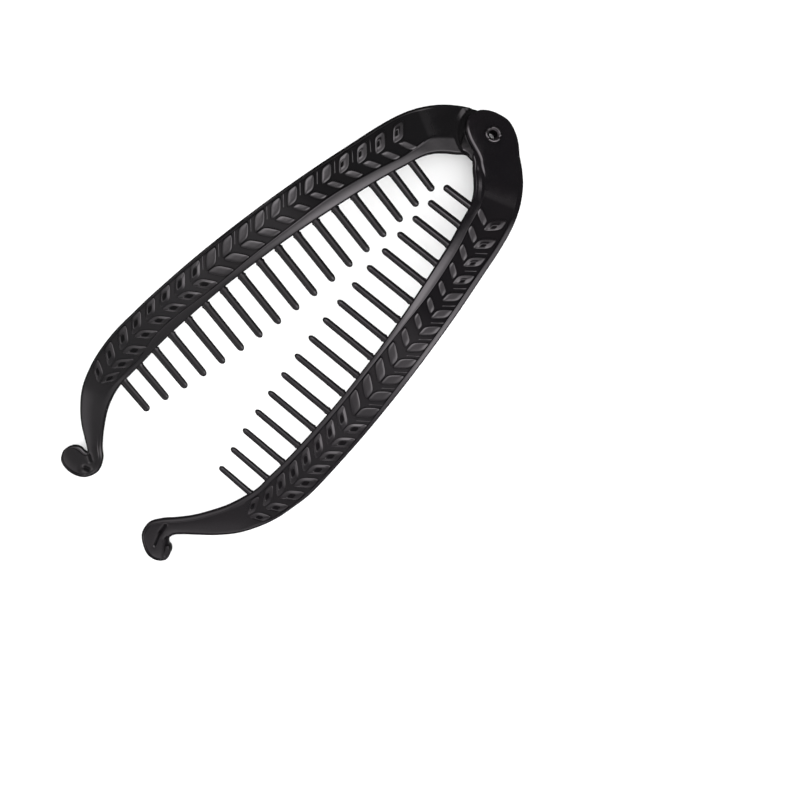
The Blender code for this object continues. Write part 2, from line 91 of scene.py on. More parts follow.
STRIP_ROWS = (
    Row(-3.2, 5.5, 6.2, -1.2, 1.1, -1.2),
    Row(-1.9, 7.7, 8.0, -0.7, 1.1, -1.2),
    Row(-0.4, 9.8, 9.2, 0.7, 1.15, -1.2),
    Row(2.5, 13.05, 10.7, 1.95, 1.2, -1.3),
    Row(6.25, 16.15, 12.6, 3.8, 1.3, -1.4),
    Row(11.1, 18.85, 15.3, 5.9, 1.4, -1.45, 0.1),
    Row(16.75, 20.7, 18.75, 7.4, 1.5, -1.5, 0.4),
    Row(23.5, 21.8, 24.0, 8.3, 1.5, -1.5, 0.4),
    Row(32.0, 22.55, 32.0, 9.6, 1.5, -1.5, 0.4),
    Row(45.5, 23.7, 45.5, 11.1, 1.5, -1.5, 0.4),
    Row(60.0, 24.5, 60.0, 12.35, 1.5, -1.5, 0.4),
    Row(74.0, 24.9, 74.0, 13.0, 1.5, -1.5, 0.4),
    Row(88.0, 24.9, 88.0, 13.2, 1.5, -1.5, 0.4),
    Row(102.0, 24.4, 102.0, 12.75, 1.5, -1.5, 0.4),
    Row(110.4, 23.8, 110.0, 12.2, 1.5, -1.5, 0.4),
)

LOWER_HOOK_ROWS = (
    Row(117.5, 23.1, 116.3, 11.4, 1.5, -1.5, 0.4),
    Row(124.5, 21.5, 121.6, 10.9, 1.5, -1.55, 0.4),
    Row(130.0, 19.4, 126.1, 10.4, 1.4, -1.7, 0.15),
    Row(134.7, 16.75, 130.0, 9.2, 1.15, -1.9),
    Row(138.4, 13.35, 133.9, 7.1, 0.7, -2.1),
    Row(141.4, 9.6, 137.9, 3.9, 0.2, -2.25),
    Row(143.6, 5.4, 141.2, 0.6, -0.1, -2.35),
    Row(145.0, 2.5, 143.5, -2.5, -0.15, -2.35),
    Row(145.5, 2.0, 146.8, -4.2, -0.15, -2.35),
    Row(145.75, 2.4, 150.2, -3.3, -0.15, -2.35),
    Row(145.9, 3.1, 152.35, -0.8, -0.15, -2.35),
    Row(146.0, 4.0, 153.2, 2.4, -0.15, -2.35),
    Row(146.5, 5.1, 152.8, 4.8, -0.15, -2.35),
    Row(147.5, 6.05, 151.5, 6.1, -0.15, -2.35),
    Row(148.9, 6.6, 150.3, 6.6, -0.15, -2.35),
)

UPPER_HOOK_ROWS = (
    Row(116.0, 22.6, 114.6, 11.7, 1.5, -1.5, 0.4),
    Row(121.6, 21.0, 119.0, 11.3, 1.5, -1.5, 0.4),
    Row(126.8, 18.6, 123.4, 9.8, 1.55, -1.3, 0.15),
    Row(131.8, 15.3, 127.9, 7.8, 1.65, -0.9),
    Row(135.9, 11.2, 132.0, 5.2, 1.85, -0.45),
    Row(139.2, 7.0, 135.9, 2.3, 2.05, -0.05),
    Row(141.6, 3.8, 139.3, -0.9, 2.2, 0.15),
    Row(143.4, 1.8, 142.2, -3.9, 2.25, 0.15),
    Row(144.8, 1.2, 145.4, -6.0, 2.25, 0.15),
    Row(145.5, 1.4, 148.9, -5.6, 2.25, 0.15),
    Row(146.0, 1.9, 151.3, -3.2, 2.25, 0.15),
    Row(146.5, 2.5, 152.6, -0.6, 2.25, 0.15),
    Row(147.2, 3.3, 152.6, 1.7, 2.25, 0.15),
    Row(148.3, 4.2, 151.8, 3.5, 2.25, 0.15),
    Row(149.6, 4.6, 150.8, 4.3, 2.25, 0.15),
)

# Widths of the smooth inner band and of the outer rim, by place along each arm.
UNDER_BANDS = (
    (15.0, 4.6), (20.0, 2.5), (25.0, 2.4), (33.0, 2.8), (38.0, 3.7), (44.5, 3.2), (52.0, 2.6),
    (74.0, 1.9), (88.0, 1.5), (100.0, 2.5), (110.0, 2.3),
)
OVER_BANDS = (
    (16.0, 2.4), (27.0, 2.4), (32.5, 2.8), (39.0, 3.0), (44.5, 2.7), (50.0, 2.3), (55.0, 1.7),
    (74.0, 1.15), (110.0, 1.2),
)
UNDER_RIMS = ((16.0, 0.8), (60.0, 0.8), (72.0, 1.0), (90.0, 0.8), (100.0, 0.45))
OVER_RIMS = ((16.0, 1.4), (72.0, 1.35), (86.0, 0.75), (110.0, 0.75))

# The lip that is turned down under the upper hook.
LIP_ROWS = (
    Row(146.9, 2.5, 147.7, 1.9, 1.6, -1.6, 0.0, 0.2),
    Row(147.6, 3.3, 148.4, 2.5, 1.6, -2.68, 0.0, 0.2),
    Row(148.6, 4.1, 149.4, 2.7, 1.6, -2.87, 0.0, 0.2),
    Row(149.8, 4.3, 150.5, 2.8, 1.6, -2.87, 0.0, 0.2),
    Row(150.9, 3.9, 151.5, 2.7, 1.6, -2.87, 0.0, 0.2),
)

# The lugs' outlines, from the hinge's outer end to the strips.
UPPER_LUG_ROWS = (
    Edge(-0.9, -8.4, 1.0, -8.4),
    Edge(-3.3, -7.2, 3.3, -6.9),
    Edge(-5.0, -4.8, 4.9, -4.7),
    Edge(-5.9, -1.9, 6.0, -2.2),
    Edge(-6.1, 1.05, 6.8, -0.2),
    Edge(-5.1, 3.95, 7.7, 1.45),
    Edge(-3.2, 6.85, 8.9, 2.75),
    Edge(-0.2, 9.75, 10.3, 4.45),
    Edge(3.1, 12.55, 12.0, 5.85),
    Edge(7.3, 15.45, 14.4, 7.15),
)

LOWER_LUG_ROWS = (
    Edge(-0.9, -8.4, 1.0, -8.4),
    Edge(-3.3, -7.2, 3.6, -7.2),
    Edge(-5.0, -4.8, 6.2, -5.4),
    Edge(-5.75, -1.9, 8.0, -2.8),
    Edge(-5.85, 0.8, 8.4, -0.9),
    Edge(-4.7, 3.6, 8.5, 0.2),
    Edge(-2.8, 6.5, 8.9, 1.4),
    Edge(0.0, 9.45, 10.1, 2.6),
)


class Hand(Enum):
    """The side of the clip that an arm lies on, as the sign of the world's Y."""

    LEFT = -1
    RIGHT = 1


@dataclass(frozen=True)
class Arch:
    """The arched middle surface: two straight sloping ends joined by an arc, level across the clip."""

    end_slope: float = math.radians(23.0)
    straight_end: float = 12.0
    middle: float = 74.85

    @property
    def half(self) -> float:
        """Half the length of the arc, in plan."""
        return self.middle - self.straight_end

    @property
    def radius(self) -> float:
        """Radius of the arc."""
        return self.half / math.sin(self.end_slope)

    @property
    def top(self) -> float:
        """Height of the arc's crown over the hinge."""
        rise = self.radius * (1.0 - math.cos(self.end_slope))
        return self.straight_end * math.tan(self.end_slope) + rise

    def height(self, x: np.ndarray) -> np.ndarray:
        """Height over the hinge's centre.

        Args:
            x: Plan positions along the clip.

        Returns:
            One height for each position.
        """
        away = np.abs(x - self.middle)
        on_arc = self.top - self.radius + np.sqrt(self.radius**2 - np.minimum(away, self.half) ** 2)
        on_end = (self.straight_end - (away - self.half)) * math.tan(self.end_slope)
        return np.where(away <= self.half, on_arc, on_end)

    def normal(self, x: np.ndarray) -> tuple[np.ndarray, np.ndarray]:
        """The direction square to the surface.

        Args:
            x: Plan positions along the clip.

        Returns:
            The direction's parts along the clip and upwards.
        """
        away = np.clip(x - self.middle, -self.half, self.half) / self.radius
        return away, np.sqrt(1.0 - away**2)


@dataclass(frozen=True)
class Hinge:
    """Where the arms turn, and how far each stands open at rest."""

    centre: tuple[float, float, float]
    slope: float = math.radians(23.0)
    open_angle: float = math.radians(6.5)

    @property
    def axis(self) -> Vector:
        """Unit vector along the rivet, upwards."""
        return Vector((-math.sin(self.slope), 0.0, math.cos(self.slope)))

    def turn(self, hand: Hand) -> np.ndarray:
        """The rotation from the closed clip to the pose at rest.

        Args:
            hand: The arm's side.

        Returns:
            A 3 by 3 rotation matrix.
        """
        return np.array(Matrix.Rotation(hand.value * self.open_angle, 3, self.axis))


@dataclass(frozen=True)
class Ground:
    """Turns places on one arm of the closed clip into points of the world."""

    arch: Arch
    hinge: Hinge
    hand: Hand

    def points(self, x: np.ndarray, y: np.ndarray, level: np.ndarray) -> np.ndarray:
        """World points, in metres.

        Args:
            x: Plan positions along the clip.
            y: Plan positions towards the arm's own side.
            level: Distances above the middle surface.

        Returns:
            The points, with the three coordinates last.
        """
        lean, rise = self.arch.normal(x)
        flat = np.stack([x + lean * level, y * self.hand.value, self.arch.height(x) + rise * level], axis=-1)
        return flat @ self.hinge.turn(self.hand).T * MM + np.array(self.hinge.centre)

    def upright(self, x: float) -> Vector:
        """The world direction square to the arm at a plan position."""
        lean, rise = self.arch.normal(np.array(x))
        return Vector(self.hinge.turn(self.hand) @ np.array([float(lean), 0.0, float(rise)]))


def smooth_rows(rows: Sequence[tuple[float, ...]], spacing: float) -> np.ndarray:
    """Rows on the smooth curve through a table's rows.

    Args:
        rows: The table's rows, all with the same columns.
        spacing: The most that either edge moves from one row to the next.

    Returns:
        The rows as an array, a column for each of the table's.
    """
    table = np.array(rows, float)
    last = len(table) - 1
    dense = []
    for index in range(last):
        before, start, end, after = (table[min(max(index + step, 0), last)] for step in (-1, 0, 1, 2))
        reach = max(np.hypot(*(end - start)[:2]), np.hypot(*(end - start)[2:4]))
        share = np.arange(max(1, math.ceil(reach / spacing)))[:, None]
        share = share / len(share)
        bend = 2.0 * before - 5.0 * start + 4.0 * end - after
        twist = 3.0 * (start - end) + after - before
        dense.append(start + 0.5 * share * ((end - before) + share * (bend + share * twist)))
    return np.concatenate([*dense, table[-1:]])


def ease(share: np.ndarray) -> np.ndarray:
    """A smooth step from 0 to 1."""
    share = np.clip(share, 0.0, 1.0)
    return share * share * (3.0 - 2.0 * share)


def finished(shape: bmesh.types.BMesh, name: str) -> bpy.types.Mesh:
    """Turns a shape into a mesh and frees it.

    Args:
        shape: What is built.
        name: The mesh's name.

    Returns:
        The mesh.
    """
    mesh = bpy.data.meshes.new(name)
    shape.to_mesh(mesh)
    shape.free()
    return mesh


def grid_mesh(name: str, points: np.ndarray, is_tube: bool = False) -> bpy.types.Mesh:
    """Skins rings of points into one closed body with faces outwards.

    Args:
        name: The mesh's name.
        points: Points, rings by points of a ring by three.
        is_tube: Whether the last ring joins the first. Otherwise both get a cap.

    Returns:
        The mesh.
    """
    shape = bmesh.new()
    loops = [[shape.verts.new(point) for point in ring] for ring in points]
    count = len(loops[0])
    for near, far in zip(loops, loops[1:] + loops[:1] if is_tube else loops[1:]):
        for index in range(count):
            after = (index + 1) % count
            shape.faces.new((near[index], near[after], far[after], far[index]))
    if not is_tube:
        shape.faces.new(loops[0])
        shape.faces.new(loops[-1])
    bmesh.ops.recalc_face_normals(shape, faces=shape.faces)
    return finished(shape, name)


def add_object(name: str, mesh: bpy.types.Mesh) -> bpy.types.Object:
    """Puts a mesh in the scene as an object at the origin.

    Args:
        name: The object's name.
        mesh: Its mesh.

    Returns:
        The object.
    """
    made = bpy.data.objects.new(name, mesh)
    bpy.context.scene.collection.objects.link(made)
    return made


def drop(*objects: bpy.types.Object) -> None:
    """Removes helper objects."""
    for made in objects:
        bpy.data.objects.remove(made, do_unlink=True)


def baked(made: bpy.types.Object) -> bpy.types.Mesh:
    """The object's mesh with its modifiers applied. The object is removed.

    Args:
        made: An object that carries modifiers.

    Returns:
        A plain mesh.
    """
    graph = bpy.context.evaluated_depsgraph_get()
    mesh = bpy.data.meshes.new_from_object(made.evaluated_get(graph))
    drop(made)
    return mesh


def cut(mesh: bpy.types.Mesh, *cutters: bpy.types.Mesh) -> bpy.types.Mesh:
    """Cuts shapes away from a mesh.

    Args:
        mesh: A closed body.
        cutters: Closed bodies to take away.

    Returns:
        What is left, as a plain mesh.
    """
    body = add_object("body_to_cut", mesh)
    helpers = [add_object("cutter", cutter) for cutter in cutters]
    for helper in helpers:
        modifier = body.modifiers.new("cut", "BOOLEAN")
        modifier.operation = "DIFFERENCE"
        modifier.object = helper
        modifier.solver = "EXACT"
    result = baked(body)
    drop(*helpers)
    return result


def joined(name: str, meshes: Sequence[bpy.types.Mesh]) -> bpy.types.Mesh:
    """Puts meshes together.

    Args:
        name: The result's name.
        meshes: What it holds.

    Returns:
        One mesh.
    """
    shape = bmesh.new()
    for mesh in meshes:
        shape.from_mesh(mesh)
    return finished(shape, name)


def shade(mesh: bpy.types.Mesh, crease: float) -> None:
    """Smooth shading that stays crisp along edges sharper than an angle in degrees."""
    mesh.polygons.foreach_set("use_smooth", [True] * len(mesh.polygons))
    mesh.set_sharp_from_angle(angle=math.radians(crease))


@dataclass(frozen=True)
class StripSizes:
    """Sizes of an arm's cross section, in millimetres.

    Edge is the radius of its top edges, neck_edge what is added to it where there are no leaves, and
    narrow_share the most of the width that either takes. Most_band, most_rim and most_wall are shares of the
    width too, least_band and least_rim are in edges, and crown_start and crown_run in shares of the height.
    Beside the lug, which fades out from lug_end on, the inner edge has a low shelf.
    """

    row_spacing: float = 0.4
    edge: float = 0.5
    neck_edge: float = 0.45
    full_sink: float = 0.4
    under_edge: float = 0.35
    wall_run: float = 0.35
    narrow_share: float = 0.22
    most_band: float = 0.35
    least_band: float = 1.3
    most_rim: float = 0.3
    least_rim: float = 1.1
    most_wall: float = 0.05
    crown: float = 0.22
    crown_start: float = 0.45
    crown_run: float = 0.4
    band_fall: float = 0.16
    shelf: float = 0.35
    shelf_run: float = 0.95
    shelf_fall: float = 0.33
    shelf_start: float = 8.8
    shelf_rise: float = 2.4
    lug_end: float = 15.0
    lug_fade: float = 8.0
    rim_fall: float = 0.12


class StripSection:
    """The rounded cross section of a strip, worked out for all of its rows at once."""

    # How many steps the rounded top edges, the rounded lower edges, the walls and the field have.
    TOP_STEPS = 7
    UNDER_STEPS = 4
    WALL_STEPS = 6
    FIELD_STEPS = 26

    # Where the corners lie across the inner band and the outer rim.
    BAND_SHARES = (0.04, 0.09, 0.14, 0.18, 0.21, 0.27, 0.36, 0.45, 0.54, 0.62, 0.68, 0.78, 0.9)
    RIM_SHARES = (0.3, 0.6)

    def __init__(self, rows: np.ndarray, sizes: StripSizes) -> None:
        """Sets out the strip.

        Args:
            rows: Its smooth rows.
            sizes: Its sizes.
        """
        self.rows = rows
        self.sizes = sizes
        self.inner = rows[:, 2:4]
        across = rows[:, 0:2] - self.inner
        self.width = np.hypot(*across.T)
        self.across = across / self.width[:, None]
        self.top, self.bottom, self.sunk, self.band, self.rim = rows[:, 4:9].T
        self.near_lug = 1.0 - ease((self.inner[:, 0] - sizes.lug_end) / sizes.lug_fade)

    def outline(self) -> tuple[np.ndarray, np.ndarray, np.ndarray]:
        """Works out the corners round the whole section.

        Returns:
            Each corner's distance from the inner edge, level and share of the recess, rows by corners.
        """
        size = self.sizes
        width, top, bottom, sunk = self.width, self.top, self.bottom, self.sunk
        plain = (1.0 - np.clip(sunk / size.full_sink, 0.0, 1.0)) * (1.0 - self.near_lug)
        far = size.band_fall * (1.0 - self.near_lug)
        near = size.shelf_fall * self.near_lug * ease((self.inner[:, 0] - size.shelf_start) / size.shelf_rise)
        edge = np.minimum(size.edge + size.neck_edge * plain, size.narrow_share * width)
        drop_edge = np.minimum(size.edge + 0.5 * size.neck_edge * plain, size.narrow_share * width)
        under = np.minimum(size.under_edge, size.narrow_share * width)
        band = np.maximum(np.minimum(self.band, size.most_band * width), edge * size.least_band)
        rim = width - np.maximum(np.minimum(self.rim, size.most_rim * width), edge * size.least_rim)
        run = np.minimum(size.wall_run, size.most_wall * width)
        corners: list[tuple[np.ndarray, np.ndarray, np.ndarray]] = []

        def put(distance: np.ndarray, level: np.ndarray, depth: float = 0.0) -> None:
            """Adds a corner, with the share of the recess that it is sunk by."""
            corners.append((distance, level - sunk * depth, sunk * depth))

        for share in (0.0, 0.5):
            put(0.0 * width, bottom + under + (top - drop_edge - bottom - under) * share)
        for turn in np.linspace(0.0, math.pi / 2, self.TOP_STEPS):
            put(edge * (1.0 - math.cos(turn)), top - far - near - drop_edge * (1.0 - math.sin(turn)))
        for share in self.BAND_SHARES:
            shelf = 1.0 - np.clip(((band - edge) * share - size.shelf) / size.shelf_run, 0.0, 1.0)
            put(edge + (band - edge) * share, top - far * (1.0 - share) ** 2 - near * shelf)
        for share in np.linspace(0.0, 1.0, self.WALL_STEPS):
            put(band + run * share, top, float(ease(share)))
        for share in np.linspace(0.0, 1.0, self.FIELD_STEPS)[1:-1]:
            put(band + run + (rim - band - 2.0 * run) * share, top, 1.0)
        for share in np.linspace(1.0, 0.0, self.WALL_STEPS):
            put(rim - run * share, top, float(ease(share)))
        for share in self.RIM_SHARES:
            put(rim + (width - edge - rim) * share, top - size.rim_fall * share**2)
        for turn in np.linspace(math.pi / 2, 0.0, self.TOP_STEPS):
            drop = size.rim_fall + drop_edge * (1.0 - math.sin(turn))
            put(width - edge * (1.0 - math.cos(turn)), top - drop)
        put(width, (top + bottom) / 2.0)
        for turn in np.linspace(0.0, math.pi / 2, self.UNDER_STEPS):
            put(width - under * (1.0 - math.cos(turn)), bottom + under * (1.0 - math.sin(turn)))
        for share in (0.8, 0.6, 0.4, 0.2):
            put(width * share, bottom)
        for turn in np.linspace(math.pi / 2, 0.0, self.UNDER_STEPS)[:-1]:
            put(under * (1.0 - math.cos(turn)), bottom + under * (1.0 - math.sin(turn)))
        distance, level, depth = (np.stack(column, axis=1) for column in zip(*corners))
        return distance, level, depth / size.full_sink

    def places(self) -> tuple[np.ndarray, np.ndarray, np.ndarray, np.ndarray, np.ndarray]:
        """Works out where the section's points lie.

        Returns:
            Plan x, plan y and level of each point, how far up it lies and its share of the recess.
        """
        distance, level, recess = self.outline()
        plan = self.inner[:, None, :] + self.across[:, None, :] * distance[:, :, None]
        height = np.clip((level - self.bottom[:, None]) / (self.top - self.bottom)[:, None], 0.0, 1.0)
        upper = ease((height - self.sizes.crown_start) / self.sizes.crown_run)
        middle = 2.0 * distance / self.width[:, None] - 1.0
        level = level - self.sizes.crown * (1.0 - self.near_lug)[:, None] * middle**2 * upper
        return plan[..., 0], plan[..., 1], level, upper, recess


@dataclass(frozen=True)
class Dent:
    """A smooth groove, dent or slope in a hook's top face, along a line between two plan places."""

    start: tuple[float, float]
    end: tuple[float, float]
    width: float
    depth: float
    # How matt the dent is, and how much painted shade darkens it.
    matt_and_shade: float = 0.0

    def share(self, x: np.ndarray, y: np.ndarray) -> np.ndarray:
        """How strongly each plan place belongs to the dent.

        Args:
            x: Plan positions along the clip.
            y: Plan positions towards the arm's own side.

        Returns:
            A value from 0 to 1 for each place.
        """
        start = np.array(self.start)
        way = np.array(self.end) - start
        share = np.clip(((x - start[0]) * way[0] + (y - start[1]) * way[1]) / (way @ way), 0.0, 1.0)
        away = np.hypot(x - start[0] - share * way[0], y - start[1] - share * way[1])
        return np.exp(-((away / self.width) ** 2))


# Points round a leaf and round a tooth, and how far a leaf's outline is rounded: 1 would be a circle.
LEAF_SIDES = 40
TOOTH_SIDES = 20
LEAF_ROUNDNESS = 2.0 / 3.6

# The steep foot that two kinds of leaf share, as rings of the kind below.
LEAF_FOOT = ((1.0, -0.42, 1.0), (0.94, -0.12, 1.0), (0.9, 0.12, 0.8), (0.87, 0.26, 0.2), (0.82, 0.34, 0.0))


class LeafKind(Enum):
    """How a leaf is shaped: rings from its foot inwards, each a share of its size, a level and a share of
    matt and painted shade.
    """

    PLAIN = (*LEAF_FOOT, (0.74, 0.39, 0.0), (0.6, 0.43, 0.0), (0.4, 0.45, 0.0), (0.15, 0.45, 0.0))
    PETAL = (
        *LEAF_FOOT,
        (0.72, 0.37, 0.0), (0.52, 0.39, 0.0), (0.4, 0.43, 0.0), (0.32, 0.5, 0.0), (0.26, 0.5, 0.0),
        (0.21, 0.32, 0.6), (0.15, 0.16, 1.0), (0.05, 0.12, 1.0),
    )
    RINGED = (
        (1.0, -0.42, 0.7), (0.94, -0.14, 0.8), (0.9, 0.06, 0.5), (0.87, 0.13, 0.0), (0.78, 0.185, 0.0),
        (0.68, 0.245, 0.0), (0.58, 0.305, 0.0), (0.49, 0.36, 0.0), (0.42, 0.37, 0.0), (0.35, 0.28, 0.3),
        (0.27, 0.09, 0.9), (0.16, 0.01, 1.0), (0.06, 0.0, 1.0),
    )
    RIB = ((1.0, -0.42, 0.6), (0.8, -0.16, 0.2), (0.55, -0.02, 0.0), (0.25, 0.02, 0.0), (0.05, 0.02, 0.0))

    @property
    def shift(self) -> float:
        """How far the leaf's pit lies from its middle towards the hook, as a share of half its length."""
        return {"PETAL": 0.52, "RINGED": 0.16}.get(self.name, 0.0)


@dataclass(frozen=True)
class LeafRow:
    """Where a row of leaves lies.

    Side is 1 for the outer row and -1 for the inner one. Middle and half, half the width, are shares of the
    field. Slant is how far a leaf leans towards the hook. Near the hinge, slim is how much slimmer leaves are
    and inset how much nearer to the inner edge they lie. Ringed is what ringed leaves keep of their width.
    """

    side: int
    middle: float
    half: float
    slant: float
    slim: float = 0.0
    inset: float = 0.0
    ringed: float = 1.0


@dataclass(frozen=True)
class LeafSizes:
    """Numbers of leaves from the hinge on, and their sizes in millimetres.

    Least_half and least_height are what the slimmest leaf keeps of its width and the smallest of its height.
    """

    pairs: int = 20
    even_pairs: int = 12
    petals: int = 4
    slim_pairs: int = 6
    slim_fade: float = 3.0
    inset_pairs: float = 6.0
    least_half: float = 0.55
    least_height: float = 0.5
    pitch: float = 5.75
    half_length: float = 2.15
    half_rib: float = 0.42
    near_tilt: float = 0.18
    full_half_field: float = 4.1
    rows: tuple[LeafRow, LeafRow] = (
        LeafRow(1, 0.765, 0.272, 0.86, inset=0.105),
        LeafRow(-1, 0.25, 0.29, 0.95, slim=0.34, inset=0.085, ringed=0.9),
    )
    rib_row: LeafRow = LeafRow(1, 0.80, 0.29, 0.86, inset=0.10)


@dataclass(frozen=True)
class ToothSizes:
    """Sizes of the combs, in millimetres, and shares of a tooth's usual width and thickness.

    A tooth starts at root_width and loses taper of its width and thinning of its thickness on the way. Its
    droop is partly bent and partly straight. The flare at its root gives places and widths.
    """

    FLARE = ((1.6, 1.22), (1.75, 1.12), (2.0, 1.05), (2.4, 1.0))

    count: int = 17
    pitch: float = 6.51
    root_depth: float = 1.6
    root_level: float = -0.35
    half_thickness: float = 0.9
    droop: float = 0.9
    bent: float = 0.6
    straight: float = 0.4
    root_length: float = 1.4
    root_width: float = 1.06
    taper: float = 0.08
    thinning: float = 0.18
    tip_run: float = 1.15
    tip_width: float = 0.08
    tip_thickness: float = 0.1
    tip_fullness: float = 0.8
    usual_length: float = 14.0
    usual_width: float = 2.2
    comb_middle: float = 67.0
    comb_reach: float = 5.0
    comb_bow: float = 0.00143


def leaf_mesh(name: str, kind: LeafKind, slant: float, tilt: float = 0.0) -> bpy.types.Mesh:
    """One leaf in a unit square: a slanting pad with rounded corners.

    Args:
        name: The mesh's name.
        kind: How its top is shaped.
        slant: How far the leaf runs along the strip for each step across it.
        tilt: How far its top falls towards the hook over half its length.

    Returns:
        The mesh, along X by across Y, with Z in millimetres.
    """
    turns = np.linspace(0.0, 2.0 * math.pi, LEAF_SIDES, endpoint=False)
    waves = (np.cos(turns), np.sin(turns))
    long_share, wide_share = (np.sign(wave) * np.abs(wave) ** LEAF_ROUNDNESS for wave in waves)
    rings = []
    for share, level, _ in kind.value:
        x = long_share * share + kind.shift * (1.0 - share) + slant * wide_share * share
        rings.append(np.stack([x, wide_share * share, level - tilt * x * (level > 0.0)], axis=-1))
    mesh = grid_mesh(name, np.array(rings))
    # Each ring's matt share also darkens it as painted shade, the pits most.
    matt_and_shade = np.repeat([matt_and_shade for _, _, matt_and_shade in kind.value], len(turns))
    mesh.attributes.new(RECESS_MATT_AND_SHADE, "FLOAT", "POINT").data.foreach_set("value", matt_and_shade)
    return mesh


def tooth_mesh(sizes: ToothSizes) -> bpy.types.Mesh:
    """One tooth of the usual length, with a flared root and a rounded, drooping tip.

    Args:
        sizes: The combs' sizes.

    Returns:
        The mesh, along X, in millimetres.
    """
    length = sizes.usual_length
    tip_run = sizes.tip_run / length
    stations = [(0.0, 1.0, 1.0), (sizes.root_length / length, 1.0, 1.0)]
    stations += [(along / length, wide, 1.0) for along, wide in sizes.FLARE]
    stations += [(share, 1.0, 1.0) for share in np.linspace(0.2, 1.0 - tip_run, 12)]
    for turn in np.linspace(0.0, math.pi / 2, 9)[1:]:
        along = 1.0 - tip_run * (1.0 - math.sin(turn))
        wide = max(sizes.tip_width, math.cos(turn))
        stations.append((along, wide, max(sizes.tip_thickness, math.cos(turn) ** sizes.tip_fullness)))
    turns = np.linspace(0.0, 2.0 * math.pi, TOOTH_SIDES, endpoint=False)
    rings = []
    for along, wide, thick in stations:
        taper = sizes.root_width - sizes.taper * along
        half = 0.5 * sizes.usual_width * taper * wide
        rise = sizes.half_thickness * thick * (1.0 - sizes.thinning * along)
        y = half * np.cos(turns)
        z = rise * np.sin(turns) - sizes.droop * float(ease(along) * sizes.bent + sizes.straight * along)
        rings.append(np.stack([np.full_like(y, along * length), y, z], axis=-1))
    return grid_mesh("tooth", np.array(rings))


class Pattern:
    """A Geometry Nodes tree that puts a master mesh on points with their own turn and size."""

    TURN = "piece_turn"
    SIZE = "piece_size"

    def __init__(self, name: str) -> None:
        """Builds the tree, with named inputs.

        Args:
            name: The tree's name.
        """
        tree = bpy.data.node_groups.new(name, "GeometryNodeTree")
        self.tree = tree
        self.inputs = {}
        for label, kind in (
            ("Geometry", "Geometry"), ("Piece", "Object"), ("Finish", "Material"),
            ("Least size", "Float"), ("Most size", "Float"), ("Seed", "Int"),
        ):
            socket = tree.interface.new_socket(label, in_out="INPUT", socket_type=f"NodeSocket{kind}")
            self.inputs[label] = socket.identifier
        tree.interface.new_socket("Geometry", in_out="OUTPUT", socket_type="NodeSocketGeometry")
        given = add_node(tree, "NodeGroupInput").outputs
        piece = add_node(tree, "GeometryNodeObjectInfo", {"Object": given["Piece"]})
        turn, size = (
            add_node(tree, "GeometryNodeInputNamedAttribute", {"Name": stored}, data_type="FLOAT_VECTOR")
            for stored in (self.TURN, self.SIZE)
        )
        rotation = add_node(tree, "FunctionNodeEulerToRotation", {"Euler": turn.outputs["Attribute"]})
        limits = {2: given["Least size"], 3: given["Most size"], "Seed": given["Seed"]}
        spread = add_node(tree, "FunctionNodeRandomValue", limits, data_type="FLOAT")
        scales = {0: size.outputs["Attribute"], "Scale": spread.outputs[1]}
        scaled = add_node(tree, "ShaderNodeVectorMath", scales, operation="SCALE")
        copies = add_node(
            tree,
            "GeometryNodeInstanceOnPoints",
            {
                "Points": given["Geometry"],
                "Instance": piece.outputs["Geometry"],
                "Rotation": rotation.outputs["Rotation"],
                "Scale": scaled.outputs["Vector"],
            },
        )
        real = add_node(tree, "GeometryNodeRealizeInstances", {"Geometry": copies.outputs["Instances"]})
        made_of = {"Geometry": real.outputs["Geometry"], "Material": given["Finish"]}
        finish = add_node(tree, "GeometryNodeSetMaterial", made_of)
        add_node(tree, "NodeGroupOutput", {"Geometry": finish.outputs["Geometry"]})

    def copies(
        self,
        name: str,
        master: bpy.types.Mesh,
        places: Sequence[tuple[Vector, Matrix, Vector]],
        material: bpy.types.Material,
        spread: float,
        seed: int,
    ) -> bpy.types.Mesh:
        """Copies of a master mesh as one plain mesh.

        Args:
            name: The result's name.
            master: The mesh that is copied.
            places: For each copy its point, its rotation and its size along each of its axes.
            material: What the copies are made of.
            spread: How much each copy's size varies, as a share.
            seed: The seed of that variation.

        Returns:
            The copies, in the world's coordinates.
        """
        points = bpy.data.meshes.new(name)
        points.from_pydata([tuple(place) for place, _, _ in places], [], [])
        for name_of, vectors in (
            (self.TURN, [turn.to_euler() for _, turn, _ in places]),
            (self.SIZE, [size for _, _, size in places]),
        ):
            stored = points.attributes.new(name_of, "FLOAT_VECTOR", "POINT")
            stored.data.foreach_set("vector", [value for vector in vectors for value in vector])
        holder = add_object(name, points)
        piece = add_object(f"{name}_master", master)
        modifier = holder.modifiers.new(self.tree.name, "NODES")
        modifier.node_group = self.tree
        for label, value in (
            ("Piece", piece), ("Finish", material), ("Seed", seed),
            ("Least size", 1.0 - spread), ("Most size", 1.0 + spread),
        ):
            modifier[self.inputs[label]] = value
        bpy.context.view_layer.update()
        mesh = baked(holder)
        drop(piece)
        return mesh


def add_node(
    tree: bpy.types.NodeTree, kind: str, inputs: dict[str | int, object] | None = None, **settings: object
) -> bpy.types.Node:
    """Adds a node to a tree.

    Args:
        tree: The tree that gets the node.
        kind: The node's type name.
        inputs: For each input its value, or the socket that it is linked to.
        settings: Properties to set on it.

    Returns:
        The node.
    """
    node = tree.nodes.new(kind)
    for setting, value in settings.items():
        setattr(node, setting, value)
    fill(tree, node, inputs or {})
    return node


def fill(tree: bpy.types.NodeTree, node: bpy.types.Node, inputs: dict[str | int, object]) -> None:
    """Sets or links inputs of a node.

    Args:
        tree: The node's tree.
        node: The node.
        inputs: For each input its value, or the socket that it is linked to.
    """
    for name, value in inputs.items():
        if isinstance(value, bpy.types.NodeSocket):
            tree.links.new(value, node.inputs[name])
        else:
            node.inputs[name].default_value = value


